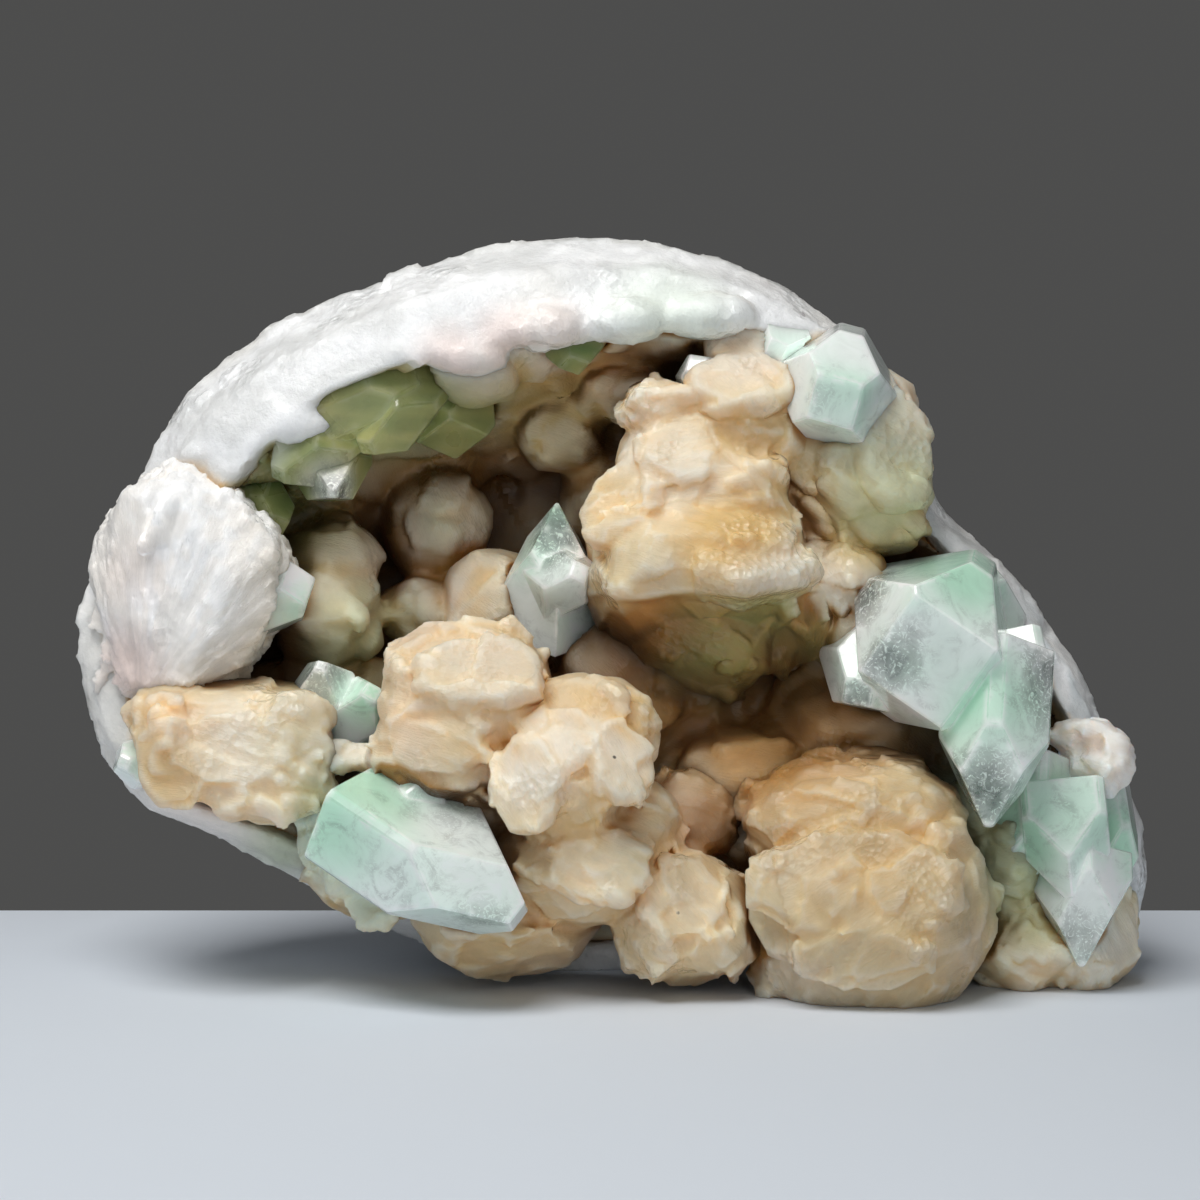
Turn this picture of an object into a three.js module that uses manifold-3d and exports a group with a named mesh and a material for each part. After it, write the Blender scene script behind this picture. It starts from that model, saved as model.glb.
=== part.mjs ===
// Half of a vug from a basalt flow: a white rind, open to the front, whose hollow is lined with peach
// stilbite sheaves and mint-green apophyllite crystals. It rests on its lower edge and on two stilbite balls.
// Millimetres, +X to the right, +Y to the back, +Z up. The origin is under the middle, on the resting surface.
import * as THREE from "three";
import { ConvexGeometry } from "three/addons/geometries/ConvexGeometry.js";
import { ImprovedNoise } from "three/addons/math/ImprovedNoise.js";
import { mergeVertices } from "three/addons/utils/BufferGeometryUtils.js";
import Module from "manifold-3d";

const wasm = await Module();
wasm.setup();
const noise = new ImprovedNoise();

const GAP = 0.3; // left between pieces that touch
const HEART = { x: 0, z: 66 }; // the rind's sections run out from here
const BACK = 54; // how far back the rind reaches
const BACK_RADIUS = 80; // its outline evens out to this round size at the back
const WALL = 13; // the rind's thickness behind the hollow
const RIND_STATIONS = 42; // sections round the rind
const LINING_STATIONS = 16; // sections round the crust inside it
const ROCK_BUMP = 1.6; // relief of the rind's outer skin
const WALL_TURNS = [22, 55]; // rings on the wall of the hollow, in degrees from the rim
const LINING = 9; // thickness of the crust on the wall
const LINING_BUMP = 1.5; // its relief
const PYRAMID_TILT = THREE.MathUtils.degToRad(60.4); // apophyllite's pyramid faces, from the crystal's axis

// The rind's rim, clockwise from the top: its outer edge, the width of the broken band and how far
// forward the band's inner edge stands.
const RIM = [
  { edge: [-4, 2, 151], band: 17, lip: -17 },
  { edge: [17, 2, 149], band: 15, lip: -16 },
  { edge: [36, 3, 142], band: 11, lip: -13 },
  { edge: [52, 4, 130], band: 8, lip: -9 },
  { edge: [61.5, 5, 118], band: 7, lip: -6 },
  { edge: [65.5, 6, 106], band: 6, lip: -4 },
  { edge: [68, 7, 97.5], band: 6, lip: -4 },
  { edge: [79, 7, 86], band: 7, lip: -6 },
  { edge: [93.5, 5, 69.5], band: 9, lip: -8 },
  { edge: [105, 3, 47], band: 9, lip: -10 },
  { edge: [111, 1, 26], band: 9, lip: -11 },
  { edge: [110.5, 2, 9], band: 9, lip: -8 },
  { edge: [98, 6, -2.5], band: 8, lip: -2 },
  { edge: [60, 8, -3], band: 8, lip: 2 },
  { edge: [18, 8, -3], band: 8, lip: 2 },
  { edge: [-24, 4, -1.5], band: 8, lip: -2 },
  { edge: [-44, 0, 9], band: 9, lip: -8 },
  { edge: [-62, -3, 19], band: 9, lip: -12 },
  { edge: [-83, -6, 30], band: 9, lip: -16 },
  { edge: [-99.5, -8, 39], band: 9, lip: -19 },
  { edge: [-106.5, -8, 57], band: 10, lip: -17 },
  { edge: [-108.5, -8, 69], band: 11, lip: -15 },
  { edge: [-105, -8, 83], band: 12, lip: -15 },
  { edge: [-97, -6, 99], band: 14, lip: -16 },
  { edge: [-92, -4, 110], band: 18, lip: -20 },
  { edge: [-84, -2, 121], band: 19, lip: -21 },
  { edge: [-73, 0, 131], band: 19, lip: -21 },
  { edge: [-54, 0, 140.5], band: 19, lip: -21 },
  { edge: [-32, 1, 148], band: 20, lip: -20 },
];

// Lumps of stilbite: centre, half sizes, how square they are, and the sides that are struck flat, each by its
// direction and the share of the lump's reach that is left there.
const STILBITE = {
  stilbite_upper_mass: [
    {
      at: [18, -15, 85],
      size: [24, 21, 23],
      detail: 2,
      flats: [[0.12, -0.62, 0.78, 0.72], [0.1, -0.86, -0.5, 0.74], [1, -0.2, 0.1, 0.86], [-1, -0.25, 0.2, 0.88]],
    },
    { at: [14, -11, 103], size: [13, 14, 14], flats: [[0.25, -0.9, 0.35, 0.8]] },
    { at: [18, -17, 68], size: [17, 13, 13], square: 2.6, flats: [[0, -0.82, -0.57, 0.76], [0.8, 0, -0.6, 0.85]] },
    { at: [35, -12, 76], size: [12, 13, 17], detail: 0 },
    { at: [10, -13, 116], size: [7, 7, 6], square: 2.8 },
    { at: [27, -8, 112], size: [16, 14, 14], flats: [[0, -0.75, 0.65, 0.8], [0, -0.85, -0.5, 0.8]] },
    { at: [29, -4, 127], size: [14, 11, 14], detail: 0 },
    {
      at: [52, -7, 106],
      size: [13, 14, 19],
      square: 3,
      flats: [[0.4, -0.85, 0.3, 0.76], [1, -0.1, 0.2, 0.86]],
    },
  ],
  stilbite_lower_mass: [
    { at: [-28, -26, 60], size: [18, 14, 15], square: 3, flats: [[-0.1, -0.62, 0.78, 0.7], [0.9, -0.2, 0.2, 0.85]] },
    { at: [-34, -30, 49], size: [14, 12, 9], square: 2.6, flats: [[0, -0.9, 0.4, 0.8]] },
    { at: [-7, -32, 48], size: [15, 13, 16], square: 3.4, flats: [[-0.25, -0.8, 0.55, 0.72], [0.85, -0.4, -0.3, 0.8]] },
    { at: [-6, -26, 28], size: [18, 16, 15], flats: [[0.1, -0.8, -0.5, 0.82]] },
    { at: [-21, -19, 14], size: [19, 17, 12], flats: [[0, -0.6, -0.8, 0.85]] },
    { at: [-48, -13, 22], size: [15, 12, 9], flats: [[-0.4, -0.3, -0.85, 0.8]] },
    { at: [16, -25, 15], size: [15, 14, 14], detail: 2, flats: [[0, -0.9, 0.3, 0.85], [0.1, -0.3, -0.95, 0.86]] },
  ],
  stilbite_ball: [
    { at: [48, -12, 34], size: [22, 15, 15], flats: [[0, -0.5, 0.85, 0.85]] },
    {
      at: [52, -27, 17],
      size: [25, 21, 22],
      detail: 2,
      flats: [[0.1, -0.72, 0.66, 0.86], [-0.7, -0.6, -0.4, 0.88], [0.8, -0.5, 0.1, 0.9]],
    },
  ],
  stilbite_block_left: [
    {
      at: [-75, -22, 50],
      size: [20.5, 15, 14],
      square: 4,
      detail: 2,
      flats: [[0.05, -0.96, 0.25, 0.8], [-1, -0.1, -0.3, 0.86], [0.1, -0.15, 1, 0.84], [-0.5, -0.1, -0.8, 0.82]],
    },
  ],
  stilbite_sheaf_left: [
    {
      at: [-85, -14, 82],
      size: [21, 17, 26],
      square: 3.6,
      flats: [
        [-0.3, -0.94, 0.1, 0.7],
        [-0.85, -0.1, 0.5, 0.86],
        [0.75, -0.1, 0.65, 0.86],
        [0.8, -0.1, -0.6, 0.84],
        [-0.8, 0.1, -0.6, 0.88],
      ],
    },
  ],
  stilbite_foot_right: [
    { at: [84, -14, 8], size: [12, 13, 11], detail: 0 },
    { at: [97, -9, 10], size: [11, 14, 13], square: 2.8, flats: [[0.5, -0.8, 0.2, 0.8]] },
  ],
  stilbite_knob_right: [
    { at: [96, -15, 46.5], size: [8.5, 7, 7.5], square: 2.8 },
    { at: [87, -17, 48], size: [4.5, 4.5, 5.5], detail: 0 },
  ],
};

// Smaller lumps on the crust that lines the hollow.
const CRUST = [
  { at: [-36, 17, 92], size: [12, 12, 13] },
  { at: [-57, 6, 86], size: [11, 12, 9] },
  { at: [-57, 0, 74], size: [14, 14, 12], detail: 0 },
  { at: [-22, 4, 76], size: [12, 13, 11], square: 2.6, flats: [[-0.3, -0.9, 0.3, 0.8]] },
  { at: [-40, 8, 74], size: [9, 10, 9], detail: 0 },
  { at: [-10, 16, 112], size: [10, 12, 9], square: 2.6 },
  { at: [3, 6, 121], size: [10, 14, 10], detail: 0 },
  { at: [-28, -4, 124], size: [14, 12, 7], detail: 0 },
  { at: [50, 8, 94], size: [17, 15, 12], detail: 0 },
  { at: [2, -4, 61], size: [14, 12, 13], square: 2.6, flats: [[-0.2, -0.8, 0.55, 0.85]] },
  { at: [28, -6, 43], size: [15, 14, 11] },
  { at: [52, -2, 52], size: [22, 14, 14] },
  { at: [-60, 6, 52], size: [26, 16, 16], detail: 0 },
  { at: [4, 22, 98], size: [16, 16, 17], detail: 0 },
  { at: [43, 0, 76], size: [13, 13, 15], detail: 0 },
  { at: [32, -4, 27], size: [16, 14, 17], detail: 0 },
  { at: [76, 2, 38], size: [20, 16, 33], detail: 0 },
  { at: [-26, 2, 38], size: [38, 18, 28], detail: 0 },
  { at: [10, 10, 60], size: [44, 22, 28], detail: 0 },
];

// Apophyllite crystals: the tip, the way it points, the width of its square prism, its length, the
// turn about its own axis in degrees, and how much of the point is cut off by a flat end face.
const APOPHYLLITE = {
  apophyllite_front_left: [
    { tip: [-15, -49, 18], points: [0.84, -0.32, -0.44], width: [23, 20], length: 42, spin: 28, cap: 3 },
  ],
  apophyllite_right: [
    { tip: [59, -47, 66], points: [-0.16, -0.96, -0.16], width: [28, 30], length: 40, spin: 10, cap: 11 },
    { tip: [48, -32, 59], points: [-0.25, -0.9, -0.35], width: [16, 17], length: 24, spin: 35, cap: 5 },
    { tip: [53, -21, 82], points: [-0.3, -0.9, 0.3], width: [13, 12], length: 20, spin: 20, cap: 3 },
    { tip: [69, -27, 80], points: [-0.15, -0.95, 0.25], width: [21, 17], length: 28, spin: 35, cap: 5 },
    { tip: [74, -37, 34], points: [-0.1, -0.4, -0.91], width: [18, 17], length: 38, spin: 40, cap: 1.5 },
    { tip: [85, -24, 51], points: [0.1, -0.6, -0.8], width: [15, 13], length: 22, spin: 20, cap: 3 },
    { tip: [83, -22, 20], points: [-0.1, -0.3, -0.95], width: [13, 12], length: 28, spin: 20, cap: 2 },
    { tip: [92, -29, 20], points: [0.05, -0.4, -0.91], width: [17, 15], length: 34, spin: 15, cap: 2 },
    { tip: [94, -27, 5], points: [-0.02, -0.35, -0.93], width: [17, 14], length: 24, spin: 45, cap: 1 },
    { tip: [102, -15, 17], points: [0.1, -0.4, -0.91], width: [13, 12], length: 28, spin: 30, cap: 3 },
  ],
  apophyllite_centre: [
    { tip: [-10.5, -9, 98], points: [0.05, -0.25, 0.97], width: [15, 15], length: 30, spin: 40, cap: 0 },
    { tip: [-6, -20, 83], points: [0.1, -0.85, 0.3], width: [10, 10], length: 22, spin: 20, cap: 1 },
  ],
  apophyllite_top_right: [
    { tip: [43.5, -36, 117], points: [-0.1, -0.98, -0.15], width: [20, 21], length: 32, spin: 30, cap: 8 },
    { tip: [33, -18, 128], points: [-0.1, -0.95, -0.1], width: [14, 11], length: 14, spin: 20, cap: 3 },
  ],
  apophyllite_roof_left: [
    { tip: [-68, -20, 102], points: [-0.6, -0.6, -0.5], width: [15, 13], length: 26, spin: 20, cap: 3 },
    { tip: [-50, -19, 107], points: [-0.45, -0.65, -0.6], width: [16, 14], length: 26, spin: 40, cap: 3 },
    { tip: [-31, -7, 103], points: [0.1, -0.6, -0.8], width: [18, 16], length: 27, spin: 10, cap: 7 },
  ],
  apophyllite_roof_right: [
    { tip: [-7, -17, 122], points: [0, -0.6, -0.75], width: [12, 12], length: 18, spin: 15, cap: 4 },
  ],
  apophyllite_left_upper: [
    { tip: [-65, -16, 91], points: [0.5, -0.75, -0.4], width: [13, 12], length: 24, spin: 25, cap: 4 },
    { tip: [-73, -17, 97], points: [0.3, -0.85, 0], width: [12, 11], length: 20, spin: 45, cap: 3 },
    { tip: [-55, -13, 99], points: [0.15, -0.9, -0.35], width: [13, 13], length: 20, spin: 40, cap: 1 },
  ],
  apophyllite_left_small: [
    { tip: [-58, -25, 84], points: [0.6, -0.62, 0.3], width: [13, 13], length: 26, spin: 10, cap: 6 },
  ],
  apophyllite_low_left: [
    { tip: [-58, -22, 62], points: [0, -0.75, 0.6], width: [12, 12], length: 22, spin: 30, cap: 2 },
    { tip: [-46, -23, 63], points: [0.25, -0.7, 0.6], width: [12, 12], length: 24, spin: 10, cap: 2 },
  ],
  apophyllite_corner_left: [
    { tip: [-97, -28, 47], points: [-0.3, -0.92, 0.1], width: [9, 9], length: 15, spin: 25, cap: 2 },
  ],
  apophyllite_upper_small: [
    { tip: [17, -15, 128], points: [-0.1, -0.9, 0.25], width: [7, 7], length: 14, spin: 45, cap: 1 },
  ],
};

const COLOURS = {
  rind: { color: 0xe9e6e0, roughness: 0.62, metalness: 0 },
  stilbite: { color: 0xe6c9a4, roughness: 0.42, metalness: 0 },
  crust: { color: 0xcfa877, roughness: 0.45, metalness: 0 },
  white: { color: 0xefe6da, roughness: 0.5, metalness: 0 },
  apophyllite: { color: 0xbfe0cc, roughness: 0.12, metalness: 0, transparent: true, opacity: 0.6 },
};

// A closed three.js geometry as a solid that can be joined and cut.
function solidOf(geometry) {
  const bare = new THREE.BufferGeometry();
  bare.setAttribute("position", geometry.getAttribute("position"));
  if (geometry.index) bare.setIndex(geometry.index);
  const merged = mergeVertices(bare, 1e-4);
  return new wasm.Manifold(
    new wasm.Mesh({
      numProp: 3,
      vertProperties: merged.getAttribute("position").array,
      triVerts: new Uint32Array(merged.index.array),
    }),
  );
}

// The solid's surface as a geometry with flat faces.
function geometryOf(solid) {
  const { vertProperties, triVerts } = solid.getMesh();
  const indexed = new THREE.BufferGeometry();
  indexed.setAttribute("position", new THREE.BufferAttribute(new Float32Array(vertProperties), 3));
  indexed.setIndex(new THREE.BufferAttribute(new Uint32Array(triVerts), 1));
  const flat = indexed.toNonIndexed();
  flat.computeVertexNormals();
  return flat;
}

// The largest of a solid's separate bodies, without the crumbs that a cut leaves.
function largest(solid) {
  return solid.decompose().reduce((best, body) => (body.volume() > best.volume() ? body : best));
}

function union(solids) {
  return solids.reduce((all, one) => all.add(one));
}

const edges = new THREE.CatmullRomCurve3(
  RIM.map(({ edge }) => new THREE.Vector3(...edge)),
  true,
  "centripetal",
);
const bands = new THREE.CatmullRomCurve3(
  RIM.map(({ band, lip }) => new THREE.Vector3(band, lip, 0)),
  true,
  "catmullrom",
);

// One ring of points round the heart. place gives each station's reach from the heart and its depth.
function ring(place, bump = 0, stations = RIND_STATIONS) {
  return Array.from({ length: stations }, (_, k) => {
    const edge = edges.getPoint(k / stations);
    const { x: band, y: lip } = bands.getPoint(k / stations);
    const out = new THREE.Vector3(edge.x - HEART.x, 0, edge.z - HEART.z);
    const { reach, y } = place({ edge: out.length(), depth: edge.y, band, lip });
    const point = out.normalize().multiplyScalar(reach).add(new THREE.Vector3(HEART.x, y, HEART.z));
    const coarse = noise.noise(point.x / 19, point.y / 19 + 7, point.z / 19);
    const fine = noise.noise(point.x / 8 + 3, point.y / 8, point.z / 8);
    const outward = new THREE.Vector3(point.x - HEART.x, 1.6 * point.y, point.z - HEART.z).normalize();
    return point.addScaledVector(outward, bump * (2 * coarse + fine));
  });
}

// A ring on the wall of the hollow, a thickness in from it and some degrees in from the rim.
function wallRing({ degrees, thickness, forward = 0, bump = 0, stations = RIND_STATIONS }) {
  const turn = THREE.MathUtils.degToRad(degrees);
  return ring(
    ({ edge, band, lip }) => ({
      reach: Math.max(edge - band - thickness, 2) * Math.cos(turn) ** 0.6,
      y: lip - forward + (BACK - WALL - thickness - lip) * Math.sin(turn),
    }),
    bump,
    stations,
  );
}

// The closed solid through rings that run from one middle point to another.
function loft(first, rings, last) {
  const stations = rings[0].length;
  const points = rings.flat();
  const start = points.push(new THREE.Vector3(HEART.x, first, HEART.z)) - 1;
  const end = points.push(new THREE.Vector3(HEART.x, last, HEART.z)) - 1;
  const faces = [];
  for (let k = 0; k < stations; k++) {
    const next = (k + 1) % stations;
    const final = (rings.length - 1) * stations;
    faces.push(start, k, next, end, final + next, final + k);
    for (let r = 0; r < rings.length - 1; r++) {
      const [a, b] = [r * stations + k, r * stations + next];
      const [c, d] = [a + stations, b + stations];
      faces.push(a, c, b, b, c, d);
    }
  }
  const geometry = new THREE.BufferGeometry().setFromPoints(points);
  geometry.setIndex(faces);
  return solidOf(geometry);
}

// The rind: rings from the back, over the outer edge and the broken band, and down the wall of the hollow.
function rind(grow = 0) {
  const rings = [70, 50, 31, 14].map((degrees) => {
    const turn = THREE.MathUtils.degToRad(degrees);
    const place = ({ edge, depth }) => ({
      reach: (THREE.MathUtils.lerp(edge, BACK_RADIUS, Math.sin(turn) ** 2) + grow) * Math.cos(turn) ** 0.72,
      y: depth + (BACK + grow - depth) * Math.sin(turn) ** 0.9,
    });
    return ring(place, ROCK_BUMP);
  });
  rings.push(ring(({ edge, depth }) => ({ reach: edge + grow, y: depth }), 0.5));
  const band = ({ edge, depth, band: width, lip }) => ({
    reach: edge - 0.4 * width + grow,
    y: depth + 0.72 * (lip - depth) - grow,
  });
  rings.push(ring(band, 0.9));
  rings.push(ring(({ edge, band: width, lip }) => ({ reach: edge - width - grow, y: lip - grow })));
  for (const degrees of WALL_TURNS) rings.push(wallRing({ degrees, thickness: grow }));
  return loft(BACK + grow, rings, BACK - WALL - grow);
}

// The crust on the wall of the hollow, without its lumps. It grows by twice as much, as its relief moves too.
function lining(grow = 0) {
  const stations = LINING_STATIONS;
  const forward = 2 * grow;
  const thickness = LINING + 2 * grow;
  const wall = [...WALL_TURNS].reverse().map((degrees) => wallRing({ degrees, thickness: 1 - grow, stations }));
  const front = [
    wallRing({ degrees: 5, thickness: 1 - grow, forward, stations }),
    wallRing({ degrees: 10, thickness: thickness - LINING / 2, forward, stations }),
  ];
  const inside = [30, 62].map((degrees) => wallRing({ degrees, thickness, forward, bump: LINING_BUMP, stations }));
  return loft(BACK - WALL - 1 + grow, [...wall, ...front, ...inside], BACK - WALL - thickness);
}

// A lump of stilbite: round, or squarer with a higher power, with low bumps and some sides struck flat.
function lump({ at, size, square = 2, flats = [], detail = 1 }, grow = 0) {
  const geometry = new THREE.IcosahedronGeometry(1, detail);
  const position = geometry.getAttribute("position");
  const half = new THREE.Vector3(...size);
  const planes = flats.map(([x, y, z, keep]) => {
    const normal = new THREE.Vector3(x, y, z).normalize();
    return { normal, distance: keep * normal.clone().multiply(half).length() };
  });
  const seed = at[0] * 0.37 + at[2] * 0.21;
  const direction = new THREE.Vector3();
  for (let i = 0; i < position.count; i++) {
    direction.fromBufferAttribute(position, i).normalize();
    const swell = 1 + 0.16 * noise.noise(2.1 * direction.x + seed, 2.1 * direction.y, 2.1 * direction.z + seed);
    const scaled = direction.clone().divide(half).toArray();
    let reach = swell / scaled.reduce((sum, value) => sum + Math.abs(value) ** square, 0) ** (1 / square);
    for (const { normal, distance } of planes) {
      const along = direction.dot(normal);
      if (along > 0) reach = Math.min(reach, distance / along);
    }
    direction.multiplyScalar(reach + grow);
    position.setXYZ(i, direction.x, direction.y, direction.z);
  }
  geometry.translate(...at);
  return solidOf(geometry);
}

// The convex body inside a set of planes, each a normal and its distance from the origin.
function withinPlanes(planes) {
  const corners = [];
  const meet = new THREE.Matrix3();
  for (let i = 0; i < planes.length; i++)
    for (let j = i + 1; j < planes.length; j++)
      for (let k = j + 1; k < planes.length; k++) {
        const [a, b, c] = [planes[i], planes[j], planes[k]];
        meet.set(...a.normal, ...b.normal, ...c.normal);
        if (Math.abs(meet.determinant()) < 1e-4) continue;
        const corner = new THREE.Vector3(a.distance, b.distance, c.distance).applyMatrix3(meet.invert());
        const inside = planes.every(({ normal, distance }) => normal.dot(corner) < distance + 1e-4);
        if (inside && !corners.some((known) => known.distanceTo(corner) < 1e-3)) corners.push(corner);
      }
  return new ConvexGeometry(corners);
}

// An apophyllite crystal: a square prism whose corners are cut by the four faces of its pyramid.
function apophyllite({ tip, points, width, length, spin, cap }, grow = 0) {
  const planes = [];
  const plane = (x, y, z, distance) =>
    planes.push({ normal: new THREE.Vector3(x, y, z), distance: distance + grow });
  for (const side of [-1, 1]) {
    plane(side, 0, 0, width[0] / 2);
    plane(0, side, 0, width[1] / 2);
  }
  const across = Math.sin(PYRAMID_TILT) * Math.SQRT1_2;
  for (const [index, [x, y]] of [[1, 1], [-1, 1], [-1, -1], [1, -1]].entries())
    plane(x * across, y * across, Math.cos(PYRAMID_TILT), [0, -0.35, 0.2, -0.15][index]);
  plane(0, 0, 1, -cap);
  plane(0, 0, -1, length);
  const geometry = withinPlanes(planes);
  const up = new THREE.Vector3(...points).normalize();
  const turn = new THREE.Quaternion()
    .setFromUnitVectors(new THREE.Vector3(0, 0, 1), up)
    .multiply(
      new THREE.Quaternion().setFromAxisAngle(new THREE.Vector3(0, 0, 1), THREE.MathUtils.degToRad(spin)),
    );
  geometry.applyMatrix4(
    new THREE.Matrix4().compose(new THREE.Vector3(...tip), turn, new THREE.Vector3(1, 1, 1)),
  );
  return solidOf(geometry);
}

const aboveSurface = solidOf(new THREE.BoxGeometry(400, 400, 300).translate(0, 0, 150));

// Every piece, first the ones that keep their whole shape. Each later one gives way to those before it.
const pieces = [
  { name: "geode_rind", finish: "rind", make: (grow) => rind(grow) },
  ...Object.entries(APOPHYLLITE).map(([name, crystals]) => ({
    name,
    finish: "apophyllite",
    make: (grow) => union(crystals.map((crystal) => apophyllite(crystal, grow))),
  })),
  {
    name: "stilbite_crust",
    finish: "crust",
    make: (grow) => union([lining(grow), ...CRUST.map((one) => lump(one, grow))]),
  },
  ...Object.entries(STILBITE).map(([name, lumps]) => ({
    name,
    finish: name === "stilbite_sheaf_left" ? "white" : "stilbite",
    make: (grow) => union(lumps.map((one) => lump(one, grow))),
  })),
];

const part = new THREE.Group();
const cutters = [];
for (const { name, finish, make } of pieces) {
  const cut = cutters.reduce((left, cutter) => left.subtract(cutter), make(0));
  const body = largest(cut.intersect(aboveSurface));
  const mesh = new THREE.Mesh(
    geometryOf(body),
    new THREE.MeshStandardMaterial({ ...COLOURS[finish], flatShading: true }),
  );
  mesh.name = name;
  part.add(mesh);
  cutters.push(make(GAP));
}

// The frame's origin is under the middle of the whole piece.
const bounds = new THREE.Box3().setFromObject(part);
const middle = bounds.getCenter(new THREE.Vector3());
part.children.forEach((mesh) => mesh.geometry.translate(-middle.x, -middle.y, -bounds.min.z));

export default part;
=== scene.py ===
import math
from itertools import product

import bmesh
import bpy
import numpy as np
from mathutils import Matrix, Vector
from mathutils.bvhtree import BVHTree


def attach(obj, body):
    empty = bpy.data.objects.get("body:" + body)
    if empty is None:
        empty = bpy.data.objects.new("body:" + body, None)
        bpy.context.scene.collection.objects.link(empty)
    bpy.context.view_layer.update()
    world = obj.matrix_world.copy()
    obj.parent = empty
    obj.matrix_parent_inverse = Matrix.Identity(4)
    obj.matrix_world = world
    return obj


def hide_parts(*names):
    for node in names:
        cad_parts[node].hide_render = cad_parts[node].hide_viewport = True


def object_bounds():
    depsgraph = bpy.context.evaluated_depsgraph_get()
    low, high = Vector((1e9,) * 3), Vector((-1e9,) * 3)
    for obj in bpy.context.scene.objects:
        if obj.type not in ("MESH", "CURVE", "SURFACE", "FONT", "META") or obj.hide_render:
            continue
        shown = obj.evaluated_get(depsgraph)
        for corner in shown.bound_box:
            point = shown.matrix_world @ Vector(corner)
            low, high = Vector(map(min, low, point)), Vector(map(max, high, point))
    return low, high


# Half of a vug: a white rind whose hollow is lined with peach stilbite and mint-green apophyllite crystals.
# Sizes below are in millimetres unless a name says otherwise. The frame is in metres.
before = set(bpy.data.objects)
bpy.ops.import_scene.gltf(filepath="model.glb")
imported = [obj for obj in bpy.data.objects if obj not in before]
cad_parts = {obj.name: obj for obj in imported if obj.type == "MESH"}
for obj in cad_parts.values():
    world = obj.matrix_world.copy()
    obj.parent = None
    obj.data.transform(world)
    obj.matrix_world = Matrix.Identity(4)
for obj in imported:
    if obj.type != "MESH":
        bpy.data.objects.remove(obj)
cad_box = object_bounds()

MM = 0.001

# The camera, the floor, and each light's place, target, size, power and colour.
CAMERA_TARGET = (-3.45, 0.41, 77.2)
CAMERA_DISTANCE = 700
CAMERA_HEIGHT_DEG = 4
CAMERA_LENS = 102.3
CAMERA_SENSOR = 36
CAMERA_NEAREST = 10
FLOOR_LOW = (-900, -900, -40)
FLOOR_HIGH = (900, 80, 0)
FLOOR_COLOUR = (0.70, 0.755, 0.83)
WORLD_COLOUR = (0.075, 0.075, 0.074, 1)
LIGHTS = {
    "softbox_above": ((-230, -370, 870), (0, 0, 60), (560, 460), 7.3, (1.0, 0.99, 0.97)),
    "fill_front": ((200, -1300, 500), (0, 0, 70), (1100, 900), 2.6, (0.97, 0.99, 1.0)),
}

# The map of solid places: its spacing, the room round it, and how far its near and far averages reach.
MAP_PITCH = 2.0
MAP_MARGIN = 24
NEAR_REACH = 3.0
FAR_REACH = 9.0
RAY_STEP = 0.001
RAY_SHIFT = (0.013, 0.017)
MOST_CROSSINGS = 20

# The middle of the rind seen from the front, the turns at which its reach is read, and each reading's half
# width in radians.
HEART = (-1.65, 66)
RIND_TURNS = 120
RIND_SECTOR = 0.12
RIND_MARGIN = 3

# The cut sheaf: where its plates start, where its lines meet from the front, and how its fan is stretched.
SHEAF_ROOT = (-106.0, -14.0, 60.0)
FAN_ROOT = (-94.0, 58.0)
FAN_TURN = 0.55
FAN_DEPTH = 1.2

# The blades of stilbite: one for each square of the spacing, and how far their ends stand out.
BLADES = {"spacing": 4.2, "thickness": (1.5, 3.0), "width": (6, 12), "length": (7, 10), "out": (-0.5, 0.7)}
SMALL_BLADES = {
    "spacing": 3.6, "thickness": (1.6, 3.2), "width": (4, 7), "length": (5, 8), "out": (-0.6, 0.5)
}
TEETH = {"spacing": 2.7, "thickness": (1.3, 2.1), "width": (3, 6), "length": (8, 12), "out": (-0.7, 0.4)}

BLADE_SIZES = ("thickness", "width", "length")
BLADE_TAPER = 0.82
BLADE_ROOT = 1.6
FLAT_STACK = 0.80
CROWDED = 0.4

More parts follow.
